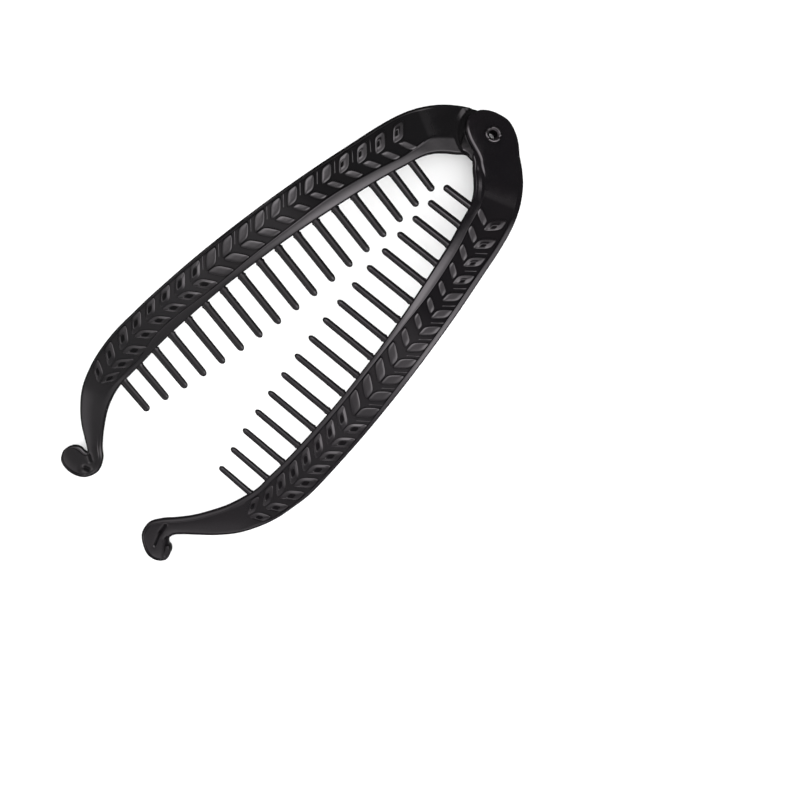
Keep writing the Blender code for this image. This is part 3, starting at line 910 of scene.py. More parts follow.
def new_material(name: str) -> tuple[bpy.types.Material, bpy.types.NodeTree, bpy.types.Node]:
    """Makes a material with nodes.

    Args:
        name: The material's name.

    Returns:
        The material, its tree and its Principled shader.
    """
    material = bpy.data.materials.new(name)
    material.use_nodes = True
    return material, material.node_tree, material.node_tree.nodes["Principled BSDF"]


def colour(code: str) -> tuple[float, float, float, float]:
    """Turns an sRGB hex code to a linear colour.

    Args:
        code: Such as #1a1b1c.

    Returns:
        Red, green, blue and an alpha of 1.
    """
    parts = [int(code[place : place + 2], 16) / 255.0 for place in (1, 3, 5)]
    red, green, blue = (c / 12.92 if c <= 0.04045 else ((c + 0.055) / 1.055) ** 2.4 for c in parts)
    return red, green, blue, 1.0


@dataclass(frozen=True)
class MouldedStyrene:
    """Injection-moulded black styrene.

    The polished mould leaves a near mirror, with a faint swirl in its depth, fine handling haze and shallow
    sink marks that bend its reflections. The recesses of the relief come out of the mould matt, and their
    reflection is turned down as painted shade, so they look blacker than the raised leaves.
    """

    name: str
    dark: str
    light: str
    roughness: float
    ior: float = 1.53
    sheen: float = 0.5
    recess_roughness: float = 0.5
    # Specular level in the recess, turned down as painted shade.
    recess_painted_shade_sheen: float = 0.03
    swirl_per_mm: float = 0.09
    haze_per_mm: float = 0.35
    haze_smoother: float = 0.03
    haze_rougher: float = 0.04
    skin_per_mm: float = 0.8
    skin_depth_mm: float = 0.02
    skin_strength: float = 0.35
    sinks_per_mm: float = 0.16
    sinks_depth_mm: float = 0.12
    sinks_strength: float = 0.25

    def make(self) -> bpy.types.Material:
        """Builds the material.

        Returns:
            The material.
        """
        material, tree, shader = new_material(self.name)
        where = add_node(tree, "ShaderNodeTexCoord").outputs["Object"]
        swirl, haze, skin, sinks = (
            add_node(
                tree, "ShaderNodeTexNoise", {"Scale": cells_per_mm / MM, "Detail": detail, "Vector": where}
            ).outputs["Fac"]
            for cells_per_mm, detail in (
                (self.swirl_per_mm, 3.0),
                (self.haze_per_mm, 6.0),
                (self.skin_per_mm, 2.0),
                (self.sinks_per_mm, 1.0),
            )
        )
        shades = {"A": colour(self.dark), "B": colour(self.light), "Factor": swirl}
        tint = add_node(tree, "ShaderNodeMix", shades, data_type="RGBA")
        rough = add_node(
            tree,
            "ShaderNodeMapRange",
            {
                "From Min": 0.3,
                "From Max": 0.7,
                "To Min": self.roughness - self.haze_smoother,
                "To Max": self.roughness + self.haze_rougher,
                "Value": haze,
            },
        )
        recess = add_node(tree, "ShaderNodeAttribute", attribute_name=RECESS_MATT_AND_SHADE).outputs["Fac"]
        # Towards the recess the roughness rises and the specular level drops: matt, and darkened as painted
        # shade.
        matted, sheen = (
            add_node(tree, "ShaderNodeMix", {"A": outside, "B": inside, "Factor": recess}, data_type="FLOAT")
            for outside, inside in (
                (rough.outputs["Result"], self.recess_roughness),
                (self.sheen, self.recess_painted_shade_sheen),
            )
        )
        normal = None
        for strength, depth, height in (
            (self.sinks_strength, self.sinks_depth_mm, sinks),
            (self.skin_strength, self.skin_depth_mm, skin),
        ):
            relief = {"Strength": strength, "Distance": depth * MM, "Height": height}
            if normal:
                relief["Normal"] = normal
            normal = add_node(tree, "ShaderNodeBump", relief).outputs["Normal"]
        fill(
            tree,
            shader,
            {
                "IOR": self.ior,
                "Metallic": 0.0,
                "Base Color": tint.outputs["Result"],
                "Roughness": matted.outputs["Result"],
                "Specular IOR Level": sheen.outputs["Result"],
                "Normal": normal,
            },
        )
        return material


@dataclass(frozen=True)
class BlackenedSteel:
    """A steel eyelet, chemically blackened: dark and smooth, rubbed a little brighter by the rolling."""

    name: str
    dark: str
    light: str
    rub_per_mm: float = 1.1
    rub_depth_mm: float = 0.03
    rub_strength: float = 0.3
    smoothest: float = 0.2
    roughest: float = 0.36

    def make(self) -> bpy.types.Material:
        """Builds the material.

        Returns:
            The material.
        """
        material, tree, shader = new_material(self.name)
        where = add_node(tree, "ShaderNodeTexCoord").outputs["Object"]
        cells = {"Scale": self.rub_per_mm / MM, "Detail": 4.0, "Vector": where}
        rub = add_node(tree, "ShaderNodeTexNoise", cells).outputs["Fac"]
        shades = {"A": colour(self.dark), "B": colour(self.light), "Factor": rub}
        tint = add_node(tree, "ShaderNodeMix", shades, data_type="RGBA")
        limits = {"To Min": self.smoothest, "To Max": self.roughest, "Value": rub}
        rough = add_node(tree, "ShaderNodeMapRange", limits)
        relief = {"Strength": self.rub_strength, "Distance": self.rub_depth_mm * MM, "Height": rub}
        bump = add_node(tree, "ShaderNodeBump", relief)
        fill(
            tree,
            shader,
            {
                "Metallic": 1.0,
                "Base Color": tint.outputs["Result"],
                "Roughness": rough.outputs["Result"],
                "Normal": bump.outputs["Normal"],
            },
        )
        return material


@dataclass
class Arm:
    """One moulded arm: strip with hook, lug, teeth and leaves.

    Bands and rims give the widths of the strip's inner band and outer rim by place. First_leaf and
    first_tooth are the places of the first ones, and hook_pitch is the pitch of the ringed leaves.
    """

    name: str
    body: str
    ground: Ground
    hook_rows: Sequence[Row]
    bands: Sequence[tuple[float, float]]
    rims: Sequence[tuple[float, float]]
    sizes: StripSizes
    dents: Sequence[Dent]
    first_leaf: float
    hook_pitch: float
    first_tooth: float
    tooth_widths: tuple[float, float]
    finish: bpy.types.Material
    slot: str

    LAP_GAP = 0.15
    LAP_RELIEF = 0.1
    LAP_RADIUS = 9.6
    LUG_LEVEL = 1.55
    RAMP_INNER_RADIUS = 9.4
    RAMP_OUTER_RADIUS = 12.6
    RAMP_TOP = 2.0
    BORE_RADIUS = 1.95
    CUTTER_REACH = 6.0
    CUTTER_SIDES = 144

    # Edges sharper than these angles, in degrees, stay crisp.
    MOULDING_CREASE = 42.0
    RELIEF_CREASE = 60.0

    # How many of the hook's rows the comb and the leaves reach onto.
    COMB_HOOK_ROWS = 5
    LEAF_HOOK_ROWS = 6

    # Level of the strip's top where it covers the end of its own lug, by place along the arm.
    COVER = ((9.2, 1.15), (12.6, 1.56), (15.3, 1.59), (18.75, 1.57), (24.0, 1.5))

    # The lug's rounded edge and low shoulder: how far in from the outline, and how far below the top face.
    LUG_EDGE = ((0.0, 0.55), (0.03, 0.36), (0.10, 0.25), (0.22, 0.18), (0.62, 0.04), (0.80, 0.0))

    # How far the lug's lower edge is chamfered, and how far apart the rows of its outline are.
    LUG_CHAMFER = 0.2
    LUG_SPACING = 0.7

    # How matt the sunk field is, and how much painted shade darkens it, by place along the arm. Its walls get
    # matt and shaded faster than they get deep, and so do the dents from a share of their depth on.
    WALL_MATT_AND_SHADE = 2.5
    FIELD_MATT_AND_SHADE = ((50.0, 1.0), (60.0, 0.75), (80.0, 0.75), (92.0, 0.5))
    DENT_MATT_AND_SHADE_START = 0.45
    DENT_MATT_AND_SHADE_RUN = 0.5
    RECESS_REACH = 0.2

    def __post_init__(self) -> None:
        """Works out the arm's rows."""
        table = []
        for row in STRIP_ROWS:
            band = float(np.interp(row.inner_x, *zip(*self.bands)))
            rim = float(np.interp(row.outer_x, *zip(*self.rims)))
            rise = float(np.interp(row.inner_x, *zip(*self.COVER))) if self.laps_over else row.top
            table.append(row._replace(top=max(row.top, rise), band=band, rim=rim))
        self.table = (*table, *self.hook_rows)

    @property
    def laps_over(self) -> bool:
        """Whether this arm's lug lies on the other's."""
        return self.ground.hand is Hand.RIGHT

    def turned(self, low_radius: float, high_radius: float, low: float, high: float) -> bpy.types.Mesh:
        """A cylinder or cone on the hinge's axis.

        Args:
            low_radius: Radius at the low end.
            high_radius: Radius at the high end.
            low: Level of the low end.
            high: Level of the high end.

        Returns:
            The mesh, in the world's coordinates.
        """
        shape = bmesh.new()
        bmesh.ops.create_cone(
            shape,
            cap_ends=True,
            segments=self.CUTTER_SIDES,
            radius1=low_radius * MM,
            radius2=high_radius * MM,
            depth=(high - low) * MM,
        )
        hinge = self.ground.hinge
        lift = Matrix.Translation((0.0, 0.0, (low + high) / 2.0 * MM))
        turn = Vector((0.0, 0.0, 1.0)).rotation_difference(hinge.axis).to_matrix().to_4x4()
        shape.transform(Matrix.Translation(hinge.centre) @ turn @ lift)
        return finished(shape, "turned")

    def strip(self) -> bpy.types.Mesh:
        """The strip and hook, cut away where the other arm's lug passes.

        Returns:
            Their mesh.
        """
        section = StripSection(smooth_rows(self.table, self.sizes.row_spacing), self.sizes)
        x, y, level, upper, recess = section.places()
        # The share of the recess sets how matt each point is and how much painted shade darkens it.
        recess = np.clip(self.WALL_MATT_AND_SHADE * recess, 0.0, 1.0) * np.interp(x, *zip(*self.FIELD_MATT_AND_SHADE))
        for dent in self.dents:
            share = dent.share(x, y) * upper
            level = level - dent.depth * share
            matt_and_shade = dent.matt_and_shade * ease((share - self.DENT_MATT_AND_SHADE_START) / self.DENT_MATT_AND_SHADE_RUN)
            recess = np.maximum(recess, matt_and_shade)
        points = self.ground.points(x, y, level)
        self.recess = (points.reshape(-1, 3), recess.ravel())
        mesh = grid_mesh(f"{self.name}_strip", points)
        relief = self.LAP_GAP + self.LAP_RELIEF
        if self.laps_over:
            return cut(mesh, self.turned(self.LAP_RADIUS, self.LAP_RADIUS, -self.CUTTER_REACH, relief))
        ramp = self.turned(self.RAMP_INNER_RADIUS, self.RAMP_OUTER_RADIUS, -self.LAP_GAP, self.RAMP_TOP)
        lap = self.turned(self.LAP_RADIUS, self.LAP_RADIUS, -relief, self.CUTTER_REACH)
        return cut(mesh, ramp, lap)

    def lug(self) -> bpy.types.Mesh:
        """The round-ended plate of the lap joint, with rounded edges and its bore.

        Returns:
            Its mesh.
        """
        rows = smooth_rows(UPPER_LUG_ROWS if self.laps_over else LOWER_LUG_ROWS, self.LUG_SPACING)
        top, bottom = (self.LUG_LEVEL, self.LAP_GAP) if self.laps_over else (-self.LAP_GAP, -self.LUG_LEVEL)
        outline = np.concatenate([rows[::-1, 0:2], rows[:, 2:4]])
        way = np.roll(outline, -1, axis=0) - np.roll(outline, 1, axis=0)
        inward = np.stack([-way[:, 1], way[:, 0]], axis=1) / np.hypot(*way.T)[:, None]
        edge = [(self.LUG_CHAMFER, bottom), (0.0, bottom + self.LUG_CHAMFER)]
        edge += [(inset, top - depth) for inset, depth in self.LUG_EDGE]
        rings = []
        for inset, level in edge:
            x, y = (outline + inward * inset).T
            rings.append(self.ground.points(x, y, np.full(len(outline), level)))
        mesh = grid_mesh(f"{self.name}_lug", np.array(rings))
        bore = self.turned(self.BORE_RADIUS, self.BORE_RADIUS, -self.CUTTER_REACH, self.CUTTER_REACH)
        return cut(mesh, bore)

    def lip(self) -> bpy.types.Mesh:
        """The lip turned down under the upper hook.

        Returns:
            Its mesh.
        """
        sizes = StripSizes(row_spacing=0.25, edge=0.15, neck_edge=0.0, under_edge=0.3, crown=0.0)
        section = StripSection(smooth_rows(LIP_ROWS, sizes.row_spacing), sizes)
        x, y, level, _, _ = section.places()
        return grid_mesh(f"{self.name}_lip", self.ground.points(x, y, level))

    def mark_recess(self, mesh: bpy.types.Mesh) -> None:
        """Stores on each vertex how far it lies in the sunk field, which is made matt and darkened with
        painted shade.

        Args:
            mesh: The arm's moulding.
        """
        points, shares = self.recess
        tree = KDTree(len(points))
        for index, point in enumerate(points):
            tree.insert(point, index)
        tree.balance()
        found = (tree.find(vertex.co) for vertex in mesh.vertices)
        values = [shares[index] if away < self.RECESS_REACH * MM else 0.0 for _, index, away in found]
        mesh.attributes.new(RECESS_MATT_AND_SHADE, "FLOAT", "POINT").data.foreach_set("value", values)

    def edge_at(self, x: float) -> float:
        """Plan distance of the arm's inner edge from the clip's middle line."""
        rows = smooth_rows(self.table[: len(STRIP_ROWS) + self.COMB_HOOK_ROWS], 0.5)
        return float(np.interp(x, rows[:, 2], rows[:, 3]))

    def tooth_places(self, sizes: ToothSizes) -> list[tuple[Vector, Matrix, Vector]]:
        """Root, rotation and size of each tooth.

        Args:
            sizes: The combs' sizes.

        Returns:
            The places, from the hinge to the hook.
        """
        arch = self.ground.arch
        start = math.asin((self.first_tooth - arch.middle) / arch.radius)
        places = []
        for number in range(sizes.count):
            x = arch.middle + arch.radius * math.sin(start + number * sizes.pitch / arch.radius)
            root_y = self.edge_at(x) + sizes.root_depth
            tip_y = sizes.comb_bow * (x - sizes.comb_middle) ** 2 - sizes.comb_reach
            ends = self.ground.points(np.full(2, x), np.array([root_y, tip_y]), np.full(2, sizes.root_level))
            along = Vector(ends[1] - ends[0])
            up = self.ground.upright(x)
            way = along.normalized()
            turn = Matrix((way, up.cross(way), up)).transposed()
            share = number / (sizes.count - 1)
            wide = self.tooth_widths[0] * (1.0 - share) + self.tooth_widths[1] * share
            size = Vector((along.length / sizes.usual_length, wide / sizes.usual_width * MM, MM))
            places.append((Vector(ends[0]), turn, size))
        return places

    def teeth(self, pattern: Pattern, sizes: ToothSizes) -> bpy.types.Object:
        """The arm's comb.

        Args:
            pattern: What places the teeth.
            sizes: The combs' sizes.

        Returns:
            The comb as one object.
        """
        master = tooth_mesh(sizes)
        places = self.tooth_places(sizes)
        mesh = pattern.copies(f"{self.name}_teeth", master, places, self.finish, spread=0.0, seed=1)
        shade(mesh, self.RELIEF_CREASE)
        return add_object(f"{self.name}_teeth", mesh)

    def leaf_places(
        self, sizes: LeafSizes, leaf_row: LeafRow, shift: float = 0.0
    ) -> list[tuple[Vector, Matrix, Vector]]:
        """Point, rotation and size of each leaf of one row.

        Args:
            sizes: The leaves' sizes.
            leaf_row: The row.
            shift: How far to move them towards the hook, as a share of the pitch.

        Returns:
            The places, from the hinge to the hook.
        """
        rows = smooth_rows(self.table[: len(STRIP_ROWS) + self.LEAF_HOOK_ROWS], 0.4)
        middle = (rows[:, 0:2] + rows[:, 2:4]) / 2.0
        lengths = np.concatenate([[0.0], np.cumsum(np.hypot(*np.diff(middle, axis=0).T))])
        start = float(np.interp(self.first_leaf, middle[:, 0], lengths))
        strip = self.sizes
        places = []
        for pair in range(sizes.pairs):
            late = max(pair - sizes.even_pairs, 0)
            goal = start + sizes.pitch * (pair - late + shift) + self.hook_pitch * late
            row = Row(*(float(np.interp(goal, lengths, column)) for column in rows.T))
            inner = np.array([row.inner_x, row.inner_y])
            outer = np.array([row.outer_x, row.outer_y])
            width = float(np.hypot(*(outer - inner)))
            across = (outer - inner) / width
            low = row.band + strip.wall_run
            field = width - row.rim - strip.wall_run - low
            along = np.array([across[1], -across[0]])
            inset = leaf_row.inset * float(1.0 - ease(pair / sizes.inset_pairs))
            plan = inner + across * (low + field * (leaf_row.middle - inset))
            near = plan + 0.2 * np.array([np.zeros(2), along, across])
            level = np.full(3, row.top - row.sunk)
            centre, ahead, beside = map(Vector, self.ground.points(near[:, 0], near[:, 1], level))
            forward = (ahead - centre).normalized()
            up = forward.cross(beside - centre).normalized() * self.ground.hand.value
            turn = Matrix((forward, up.cross(forward), up)).transposed()
            fit = min(1.0, field / 2.0 / sizes.full_half_field)
            slim = 1.0 - leaf_row.slim * float(1.0 - ease((pair - sizes.slim_pairs) / sizes.slim_fade))
            kept = leaf_row.ringed if late else sizes.least_half + (1.0 - sizes.least_half) * slim
            half = field * leaf_row.half * kept
            rise = sizes.least_height + (1.0 - sizes.least_height) * fit
            size = Vector((sizes.half_length * fit * slim, half, rise))
            places.append((centre, turn, size * MM))
        return places

    def leaves(self, pattern: Pattern, sizes: LeafSizes) -> bpy.types.Object:
        """Both rows of leaves, and the ribs between the outer ones.

        Args:
            pattern: What places them.
            sizes: The leaves' sizes.

        Returns:
            All of them as one object.
        """
        meshes = []
        for leaf_row in sizes.rows:
            places = self.leaf_places(sizes, leaf_row)
            slant = -leaf_row.side * self.ground.hand.value * leaf_row.slant
            near_kind = LeafKind.PETAL if leaf_row.side > 0 else LeafKind.PLAIN
            for kind, first, last in (
                (near_kind, 0, sizes.petals),
                (LeafKind.PLAIN, sizes.petals, sizes.even_pairs),
                (LeafKind.RINGED, sizes.even_pairs, sizes.pairs),
            ):
                master = leaf_mesh("leaf", kind, slant, sizes.near_tilt if first == 0 else 0.0)
                group = places[first:last]
                leaves = pattern.copies("leaves", master, group, self.finish, spread=0.02, seed=first + 3)
                meshes.append(leaves)
        row = sizes.rib_row
        slant = -self.ground.hand.value * row.slant * sizes.half_length / sizes.half_rib
        rib = leaf_mesh("rib", LeafKind.RIB, slant)
        ribs = [
            (place, turn, Vector((sizes.half_rib * MM, size.y, size.z)))
            for place, turn, size in self.leaf_places(sizes, row, 0.5)[1 : sizes.even_pairs]
        ]
        meshes.append(pattern.copies("ribs", rib, ribs, self.finish, spread=0.05, seed=11))
        mesh = joined(f"{self.name}_leaves", meshes)
        mesh.materials.append(self.finish)
        shade(mesh, self.RELIEF_CREASE)
        return add_object(f"{self.name}_leaves", mesh)

    def build(self, leaf_pattern: Pattern, tooth_pattern: Pattern) -> None:
        """Builds the arm's pieces and hangs them on its body.

        Args:
            leaf_pattern: What places the leaves.
            tooth_pattern: What places the teeth.
        """
        parts = [self.strip(), self.lug()]
        if self.laps_over:
            parts.append(self.lip())
        mesh = joined(f"{self.name}_moulding", parts)
        mesh.materials.clear()
        mesh.materials.append(self.finish)
        shade(mesh, self.MOULDING_CREASE)
        self.mark_recess(mesh)
        moulding = add_object(f"{self.name}_moulding", mesh)
        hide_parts(self.name)
        pieces = [moulding, self.teeth(tooth_pattern, ToothSizes()), self.leaves(leaf_pattern, LeafSizes())]
        for piece in pieces:
            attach(piece, self.body)
            log.info("%s: %d faces", piece.name, len(piece.data.polygons))


@dataclass(frozen=True)
class Rivet:
    """The hollow rivet, with both of its ends rolled over into a ring that is split in three places.

    Seat and end are the levels of the ring's underside and top. The split sizes are its half width as an
    angle, how far it dents the ring inwards and how much it lowers it.
    """

    hinge: Hinge
    bore: float = 1.17
    barrel: float = 1.62
    flange: float = 2.45
    seat: float = 1.75
    end: float = 2.35
    sides: int = 120
    split_width: float = 0.16
    split_inset: float = 0.28
    split_dip: float = 0.09
    split_start: float = 0.3
    split_run: float = 0.5
    ring_inset: float = 0.17
    fillet: float = 0.1
    crease: float = 50.0

    # Where the ring is split, in degrees.
    SPLITS = (352, 112, 242)

    # The ring's corners: how far out from the bore or in from the flange, and how far below the end.
    MOUTH = (
        (0.0, 0.95), (0.03, 0.7), (0.12, 0.5), (0.28, 0.34), (0.46, 0.2), (0.6, 0.07), (0.74, 0.0),
        (0.88, 0.02),
    )
    ROLL = ((0.18, 0.06), (0.07, 0.15), (0.0, 0.3), (0.05, 0.46))

    def profile(self) -> np.ndarray:
        """The wall in section.

        Returns:
            Radius and level of each corner, from the bore's mouth over the ring and down outside.
        """
        rolled = [(self.bore + out, self.end - drop) for out, drop in self.MOUTH]
        rolled += [(self.flange - inset, self.end - drop) for inset, drop in self.ROLL]
        rolled += [(self.flange - self.ring_inset, self.seat), (self.barrel + self.fillet, self.seat)]
        rolled.append((self.barrel, self.seat - self.fillet))
        return np.array(rolled + [(radius, -level) for radius, level in reversed(rolled)])

    def build(self, finish: bpy.types.Material, body: str, slot: str) -> None:
        """Builds the rivet and hangs it on its body.

        Args:
            finish: What it is made of.
            body: The body that it turns with.
            slot: The name of its material slot; not used.
        """
        radius, level = self.profile().T
        turns = np.linspace(0.0, 2.0 * math.pi, self.sides, endpoint=False)[:, None]
        away = [np.angle(np.exp(1j * (turns - math.radians(place)))) for place in self.SPLITS]
        split = sum(np.exp(-((angle / self.split_width) ** 2)) for angle in away)
        split = split * ease((radius - self.bore - self.split_start) / self.split_run)
        radius = radius - self.split_inset * split
        level = level * (1.0 - self.split_dip * split)
        turn = np.array(Vector((0.0, 0.0, 1.0)).rotation_difference(self.hinge.axis).to_matrix())
        flat = np.stack([radius * np.cos(turns), radius * np.sin(turns), level], axis=-1)
        mesh = grid_mesh("eyelet", flat @ turn.T * MM + np.array(self.hinge.centre), is_tube=True)
        mesh.materials.append(finish)
        shade(mesh, self.crease)
        eyelet = add_object("eyelet", mesh)
        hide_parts("hinge_rivet")
        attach(eyelet, body)
        log.info("eyelet: %d faces", len(mesh.polygons))


@dataclass(frozen=True)
class Studio:
    """The pale table, the soft light and the camera straight above the clip."""

    millimetres_per_pixel: float = 0.283
    image_side: int = 800
    hinge_pixel: tuple[float, float] = (491.4, 136.4)
    roll: float = math.radians(44.75)
    distance: float = 6.0
    table_side: float = 6.0
    table_level: float = -0.05

    # What gloss sees, by how far a facet leans along the clip or across it. A lean of 0 mirrors the zenith.
    CEILING = (
        (-0.6, 0.02), (-0.365, 0.02), (-0.33, 0.35), (-0.29, 0.85), (-0.25, 1.0), (-0.05, 1.0), (0.05, 0.8),
        (0.12, 0.55), (0.2, 0.42), (0.3, 0.26), (0.385, 0.28), (0.415, 0.36), (0.5, 0.42), (0.58, 0.6),
        (0.68, 0.75), (0.9, 0.05),
    )
    PANEL_REACH = (
        (-0.42, 0.18), (-0.34, 0.25), (-0.27, 0.42), (-0.2, 0.78), (-0.12, 1.0), (-0.07, 0.55), (0.0, 0.3),
        (0.06, 0.15), (0.14, 0.05), (0.25, 0.1), (0.45, 0.1), (0.54, 0.4), (0.65, 0.2),
    )
    PANELS = (
        (-0.34, 0.0), (-0.22, 0.8), (-0.1, 1.0), (-0.02, 0.0), (0.04, 0.0), (0.14, 0.9), (0.45, 0.8),
        (0.7, 0.2),
    )
    SIDES = ((-1.1, 0.03), (-0.55, 0.35), (-0.3, 1.0), (0.6, 1.0), (1.0, 0.05))

    # How far the ceiling's edges are skewed to the clip, how low the dome reaches, and how bright gloss sees
    # the panels and the ceiling, and the eye the dome.
    SKEW = 0.55
    LOWEST = -0.9
    PANEL_GLOW = 4.0
    CEILING_GLOW = 1.15
    DOME_GLOW = 1.9

    def table(self) -> None:
        """A plain pale table that gloss sees dark, so it mirrors nothing."""
        bpy.ops.mesh.primitive_plane_add(size=self.table_side, location=(0.0, 0.0, self.table_level * MM))
        table = bpy.context.active_object
        table.name = "table"
        material, tree, shader = new_material("pale_table")
        fill(tree, shader, {"Base Color": colour("#fbfbfb"), "Roughness": 0.9, "Specular IOR Level": 0.0})
        dark = add_node(tree, "ShaderNodeBsdfDiffuse", {"Color": colour("#3a3a3a")})
        self.split_gloss(tree, shader.outputs["BSDF"], dark.outputs["BSDF"], tree.nodes["Material Output"])
        table.data.materials.append(material)

    @staticmethod
    def split_gloss(
        tree: bpy.types.NodeTree,
        plain: bpy.types.NodeSocket,
        gloss: bpy.types.NodeSocket,
        output: bpy.types.Node,
    ) -> None:
        """Shows gloss another shader than the eye.

        Args:
            tree: The tree of the material or the world.
            plain: What all other rays see.
            gloss: What glossy rays see.
            output: The tree's output node.
        """
        rays = add_node(tree, "ShaderNodeLightPath").outputs["Is Glossy Ray"]
        mix = add_node(tree, "ShaderNodeMixShader", {"Fac": rays, 1: plain, 2: gloss})
        fill(tree, output, {"Surface": mix.outputs["Shader"]})

    @staticmethod
    def curve(
        tree: bpy.types.NodeTree, value: bpy.types.NodeSocket, points: Sequence[tuple[float, float]]
    ) -> bpy.types.NodeSocket:
        """A value that follows straight lines through points.

        Args:
            tree: The world's tree.
            value: What drives it.
            points: Each point's place and value, the value from 0 to 1.

        Returns:
            The socket with the result.
        """
        low, high = points[0][0], points[-1][0]
        limits = {"From Min": low, "From Max": high, "Value": value}
        share = add_node(tree, "ShaderNodeMapRange", limits).outputs["Result"]
        ramp = add_node(tree, "ShaderNodeValToRGB", {"Fac": share})
        stops = ramp.color_ramp.elements
        while len(stops) < len(points):
            stops.new(0.5)
        for stop, (place, _) in zip(stops, points):
            stop.position = (place - low) / (high - low)
        for stop, (_, amount) in zip(stops, points):
            stop.color = (amount, amount, amount, 1.0)
        return ramp.outputs["Color"]

    def world(self) -> None:
        """A pale dome. Gloss sees it as a soft ceiling with two brighter panels, dark towards the hinge."""
        world = bpy.data.worlds.new("light_tent")
        bpy.context.scene.world = world
        world.use_nodes = True
        tree = world.node_tree
        tree.nodes.clear()
        where = add_node(tree, "ShaderNodeTexCoord").outputs["Generated"]
        parts = add_node(tree, "ShaderNodeSeparateXYZ", {"Vector": where}).outputs
        clamp = {0: parts["Z"], 1: self.LOWEST}
        below = add_node(tree, "ShaderNodeMath", clamp, operation="MAXIMUM").outputs[0]
        below = add_node(tree, "ShaderNodeMath", {0: below, 1: 1.0}, operation="ADD").outputs[0]
        lean_x, lean_y = (
            add_node(tree, "ShaderNodeMath", {0: parts[axis], 1: below}, operation="DIVIDE").outputs[0]
            for axis in "XY"
        )
        sums = {0: lean_y, 1: self.SKEW, 2: lean_x}
        skew = add_node(tree, "ShaderNodeMath", sums, operation="MULTIPLY_ADD").outputs[0]
        ceiling, reach, panels, fall = (
            self.curve(tree, value, points)
            for value, points in (
                (skew, self.CEILING), (lean_x, self.PANEL_REACH), (lean_y, self.PANELS), (lean_y, self.SIDES),
            )
        )
        bright = add_node(tree, "ShaderNodeMath", {0: reach, 1: panels}, operation="MULTIPLY").outputs[0]
        sums = {0: bright, 1: self.PANEL_GLOW, 2: self.CEILING_GLOW}
        glow = add_node(tree, "ShaderNodeMath", sums, operation="MULTIPLY_ADD").outputs[0]
        for factor in (ceiling, fall):
            glow = add_node(tree, "ShaderNodeMath", {0: factor, 1: glow}, operation="MULTIPLY").outputs[0]
        gloss, pale = (
            add_node(tree, "ShaderNodeBackground", {"Color": colour(code), "Strength": strength})
            for code, strength in (("#fff8fd", glow), ("#ffffff", self.DOME_GLOW))
        )
        output = add_node(tree, "ShaderNodeOutputWorld")
        self.split_gloss(tree, pale.outputs["Background"], gloss.outputs["Background"], output)

    def softbox(self) -> None:
        """One large soft lamp overhead, for the faint shadow under the arch."""
        light = bpy.data.lights.new("softbox", "AREA")
        light.shape = "DISK"
        light.size = 1.6
        light.energy = 4.0
        lamp = bpy.data.objects.new("softbox", light)
        lamp.location = (-0.4, 0.5, 1.6)
        lamp.rotation_euler = (-lamp.location).to_track_quat("-Z", "Y").to_euler()
        lamp.visible_glossy = False
        bpy.context.scene.collection.objects.link(lamp)

    def camera(self, hinge: Hinge) -> None:
        """A long lens straight above, rolled as in the photograph.

        Args:
            hinge: What its place in the picture is given for.
        """
        side = self.image_side * self.millimetres_per_pixel * MM
        right = Vector((-math.cos(self.roll), math.sin(self.roll), 0.0))
        up = Vector((-math.sin(self.roll), -math.cos(self.roll), 0.0))
        off_x = (self.hinge_pixel[0] / self.image_side - 0.5) * side
        off_y = (0.5 - self.hinge_pixel[1] / self.image_side) * side
        centre = Vector((hinge.centre[0], hinge.centre[1], 0.0)) - right * off_x - up * off_y
        lens = bpy.data.cameras.new("camera")
        lens.sensor_width = 36.0
        lens.lens = 36.0 * self.distance / side
        lens.clip_start = 0.1
        lens.clip_end = 100.0
        camera = bpy.data.objects.new("camera", lens)
        turn = Matrix((right, up, right.cross(up))).transposed()
        camera.matrix_world = Matrix.Translation(centre + Vector((0.0, 0.0, self.distance))) @ turn.to_4x4()
        bpy.context.scene.collection.objects.link(camera)
        bpy.context.scene.camera = camera

    def build(self, hinge: Hinge) -> None:
        """Builds the whole studio.

        Args:
            hinge: What the camera is placed by.
        """
        self.table()
        self.world()
        self.softbox()
        self.camera(hinge)
        bpy.context.scene.view_settings.view_transform = "Standard"
        log.info("studio: table, dome, softbox and camera")


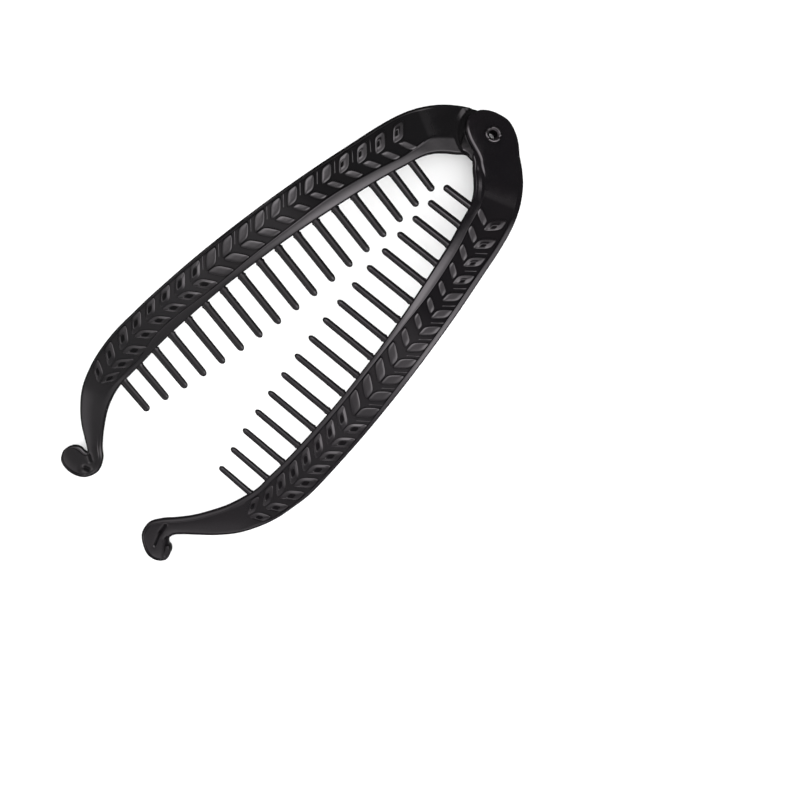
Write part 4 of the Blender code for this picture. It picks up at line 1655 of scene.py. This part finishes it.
def main() -> None:
    """Builds the studio and the clip's pieces."""
    logging.basicConfig(level=logging.INFO, format="%(message)s")
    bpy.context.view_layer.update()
    arch = Arch()
    hinge = Hinge(centre=tuple(frame["joints"][0]["pos_m"]))
    Studio().build(hinge)
    lower = MouldedStyrene("moulded_styrene_lower", "#0a0b0c", "#110f10", 0.11).make()
    upper = MouldedStyrene("moulded_styrene_upper", "#0b0b0d", "#120f11", 0.10).make()
    metal = BlackenedSteel("blackened_steel", "#484849", "#6c6a6b").make()
    leaf_pattern = Pattern("leaf_rows")
    tooth_pattern = Pattern("comb")
    Arm(
        name="under_arm",
        body="under_arm",
        ground=Ground(arch, hinge, Hand.LEFT),
        hook_rows=LOWER_HOOK_ROWS,
        bands=UNDER_BANDS,
        rims=UNDER_RIMS,
        sizes=StripSizes(rim_fall=0.35, shelf=0.0, shelf_run=3.8, shelf_fall=0.42),
        first_leaf=20.3,
        hook_pitch=5.45,
        dents=(
            Dent((148.4, -2.3), (148.8, -1.3), 0.95, 0.5, 1.0),
            Dent((145.6, 0.7), (146.1, -0.6), 0.65, 0.4, 0.9),
        ),
        first_tooth=22.15,
        tooth_widths=(2.2, 2.2),
        finish=lower,
        slot="glossy_black_plastic_lower",
    ).build(leaf_pattern, tooth_pattern)
    Arm(
        name="over_arm",
        body="over_arm",
        ground=Ground(arch, hinge, Hand.RIGHT),
        hook_rows=UPPER_HOOK_ROWS,
        bands=OVER_BANDS,
        rims=OVER_RIMS,
        sizes=StripSizes(),
        first_leaf=19.5,
        hook_pitch=5.1,
        dents=(
            Dent((142.9, -1.9), (145.2, -1.7), 0.46, 0.6, 1.0),
            Dent((145.2, -1.7), (149.1, -0.6), 0.33, 0.5, 1.0),
            Dent((145.9, 1.0), (149.1, 3.6), 0.7, 0.6, 1.0),
            Dent((147.5, 2.6), (151.5, 3.4), 1.2, 0.5),
        ),
        first_tooth=19.0,
        tooth_widths=(2.15, 1.7),
        finish=upper,
        slot="glossy_black_plastic_upper",
    ).build(leaf_pattern, tooth_pattern)
    Rivet(hinge).build(metal, "under_arm", "blackened_metal")


if __name__ == "__main__":
    main()
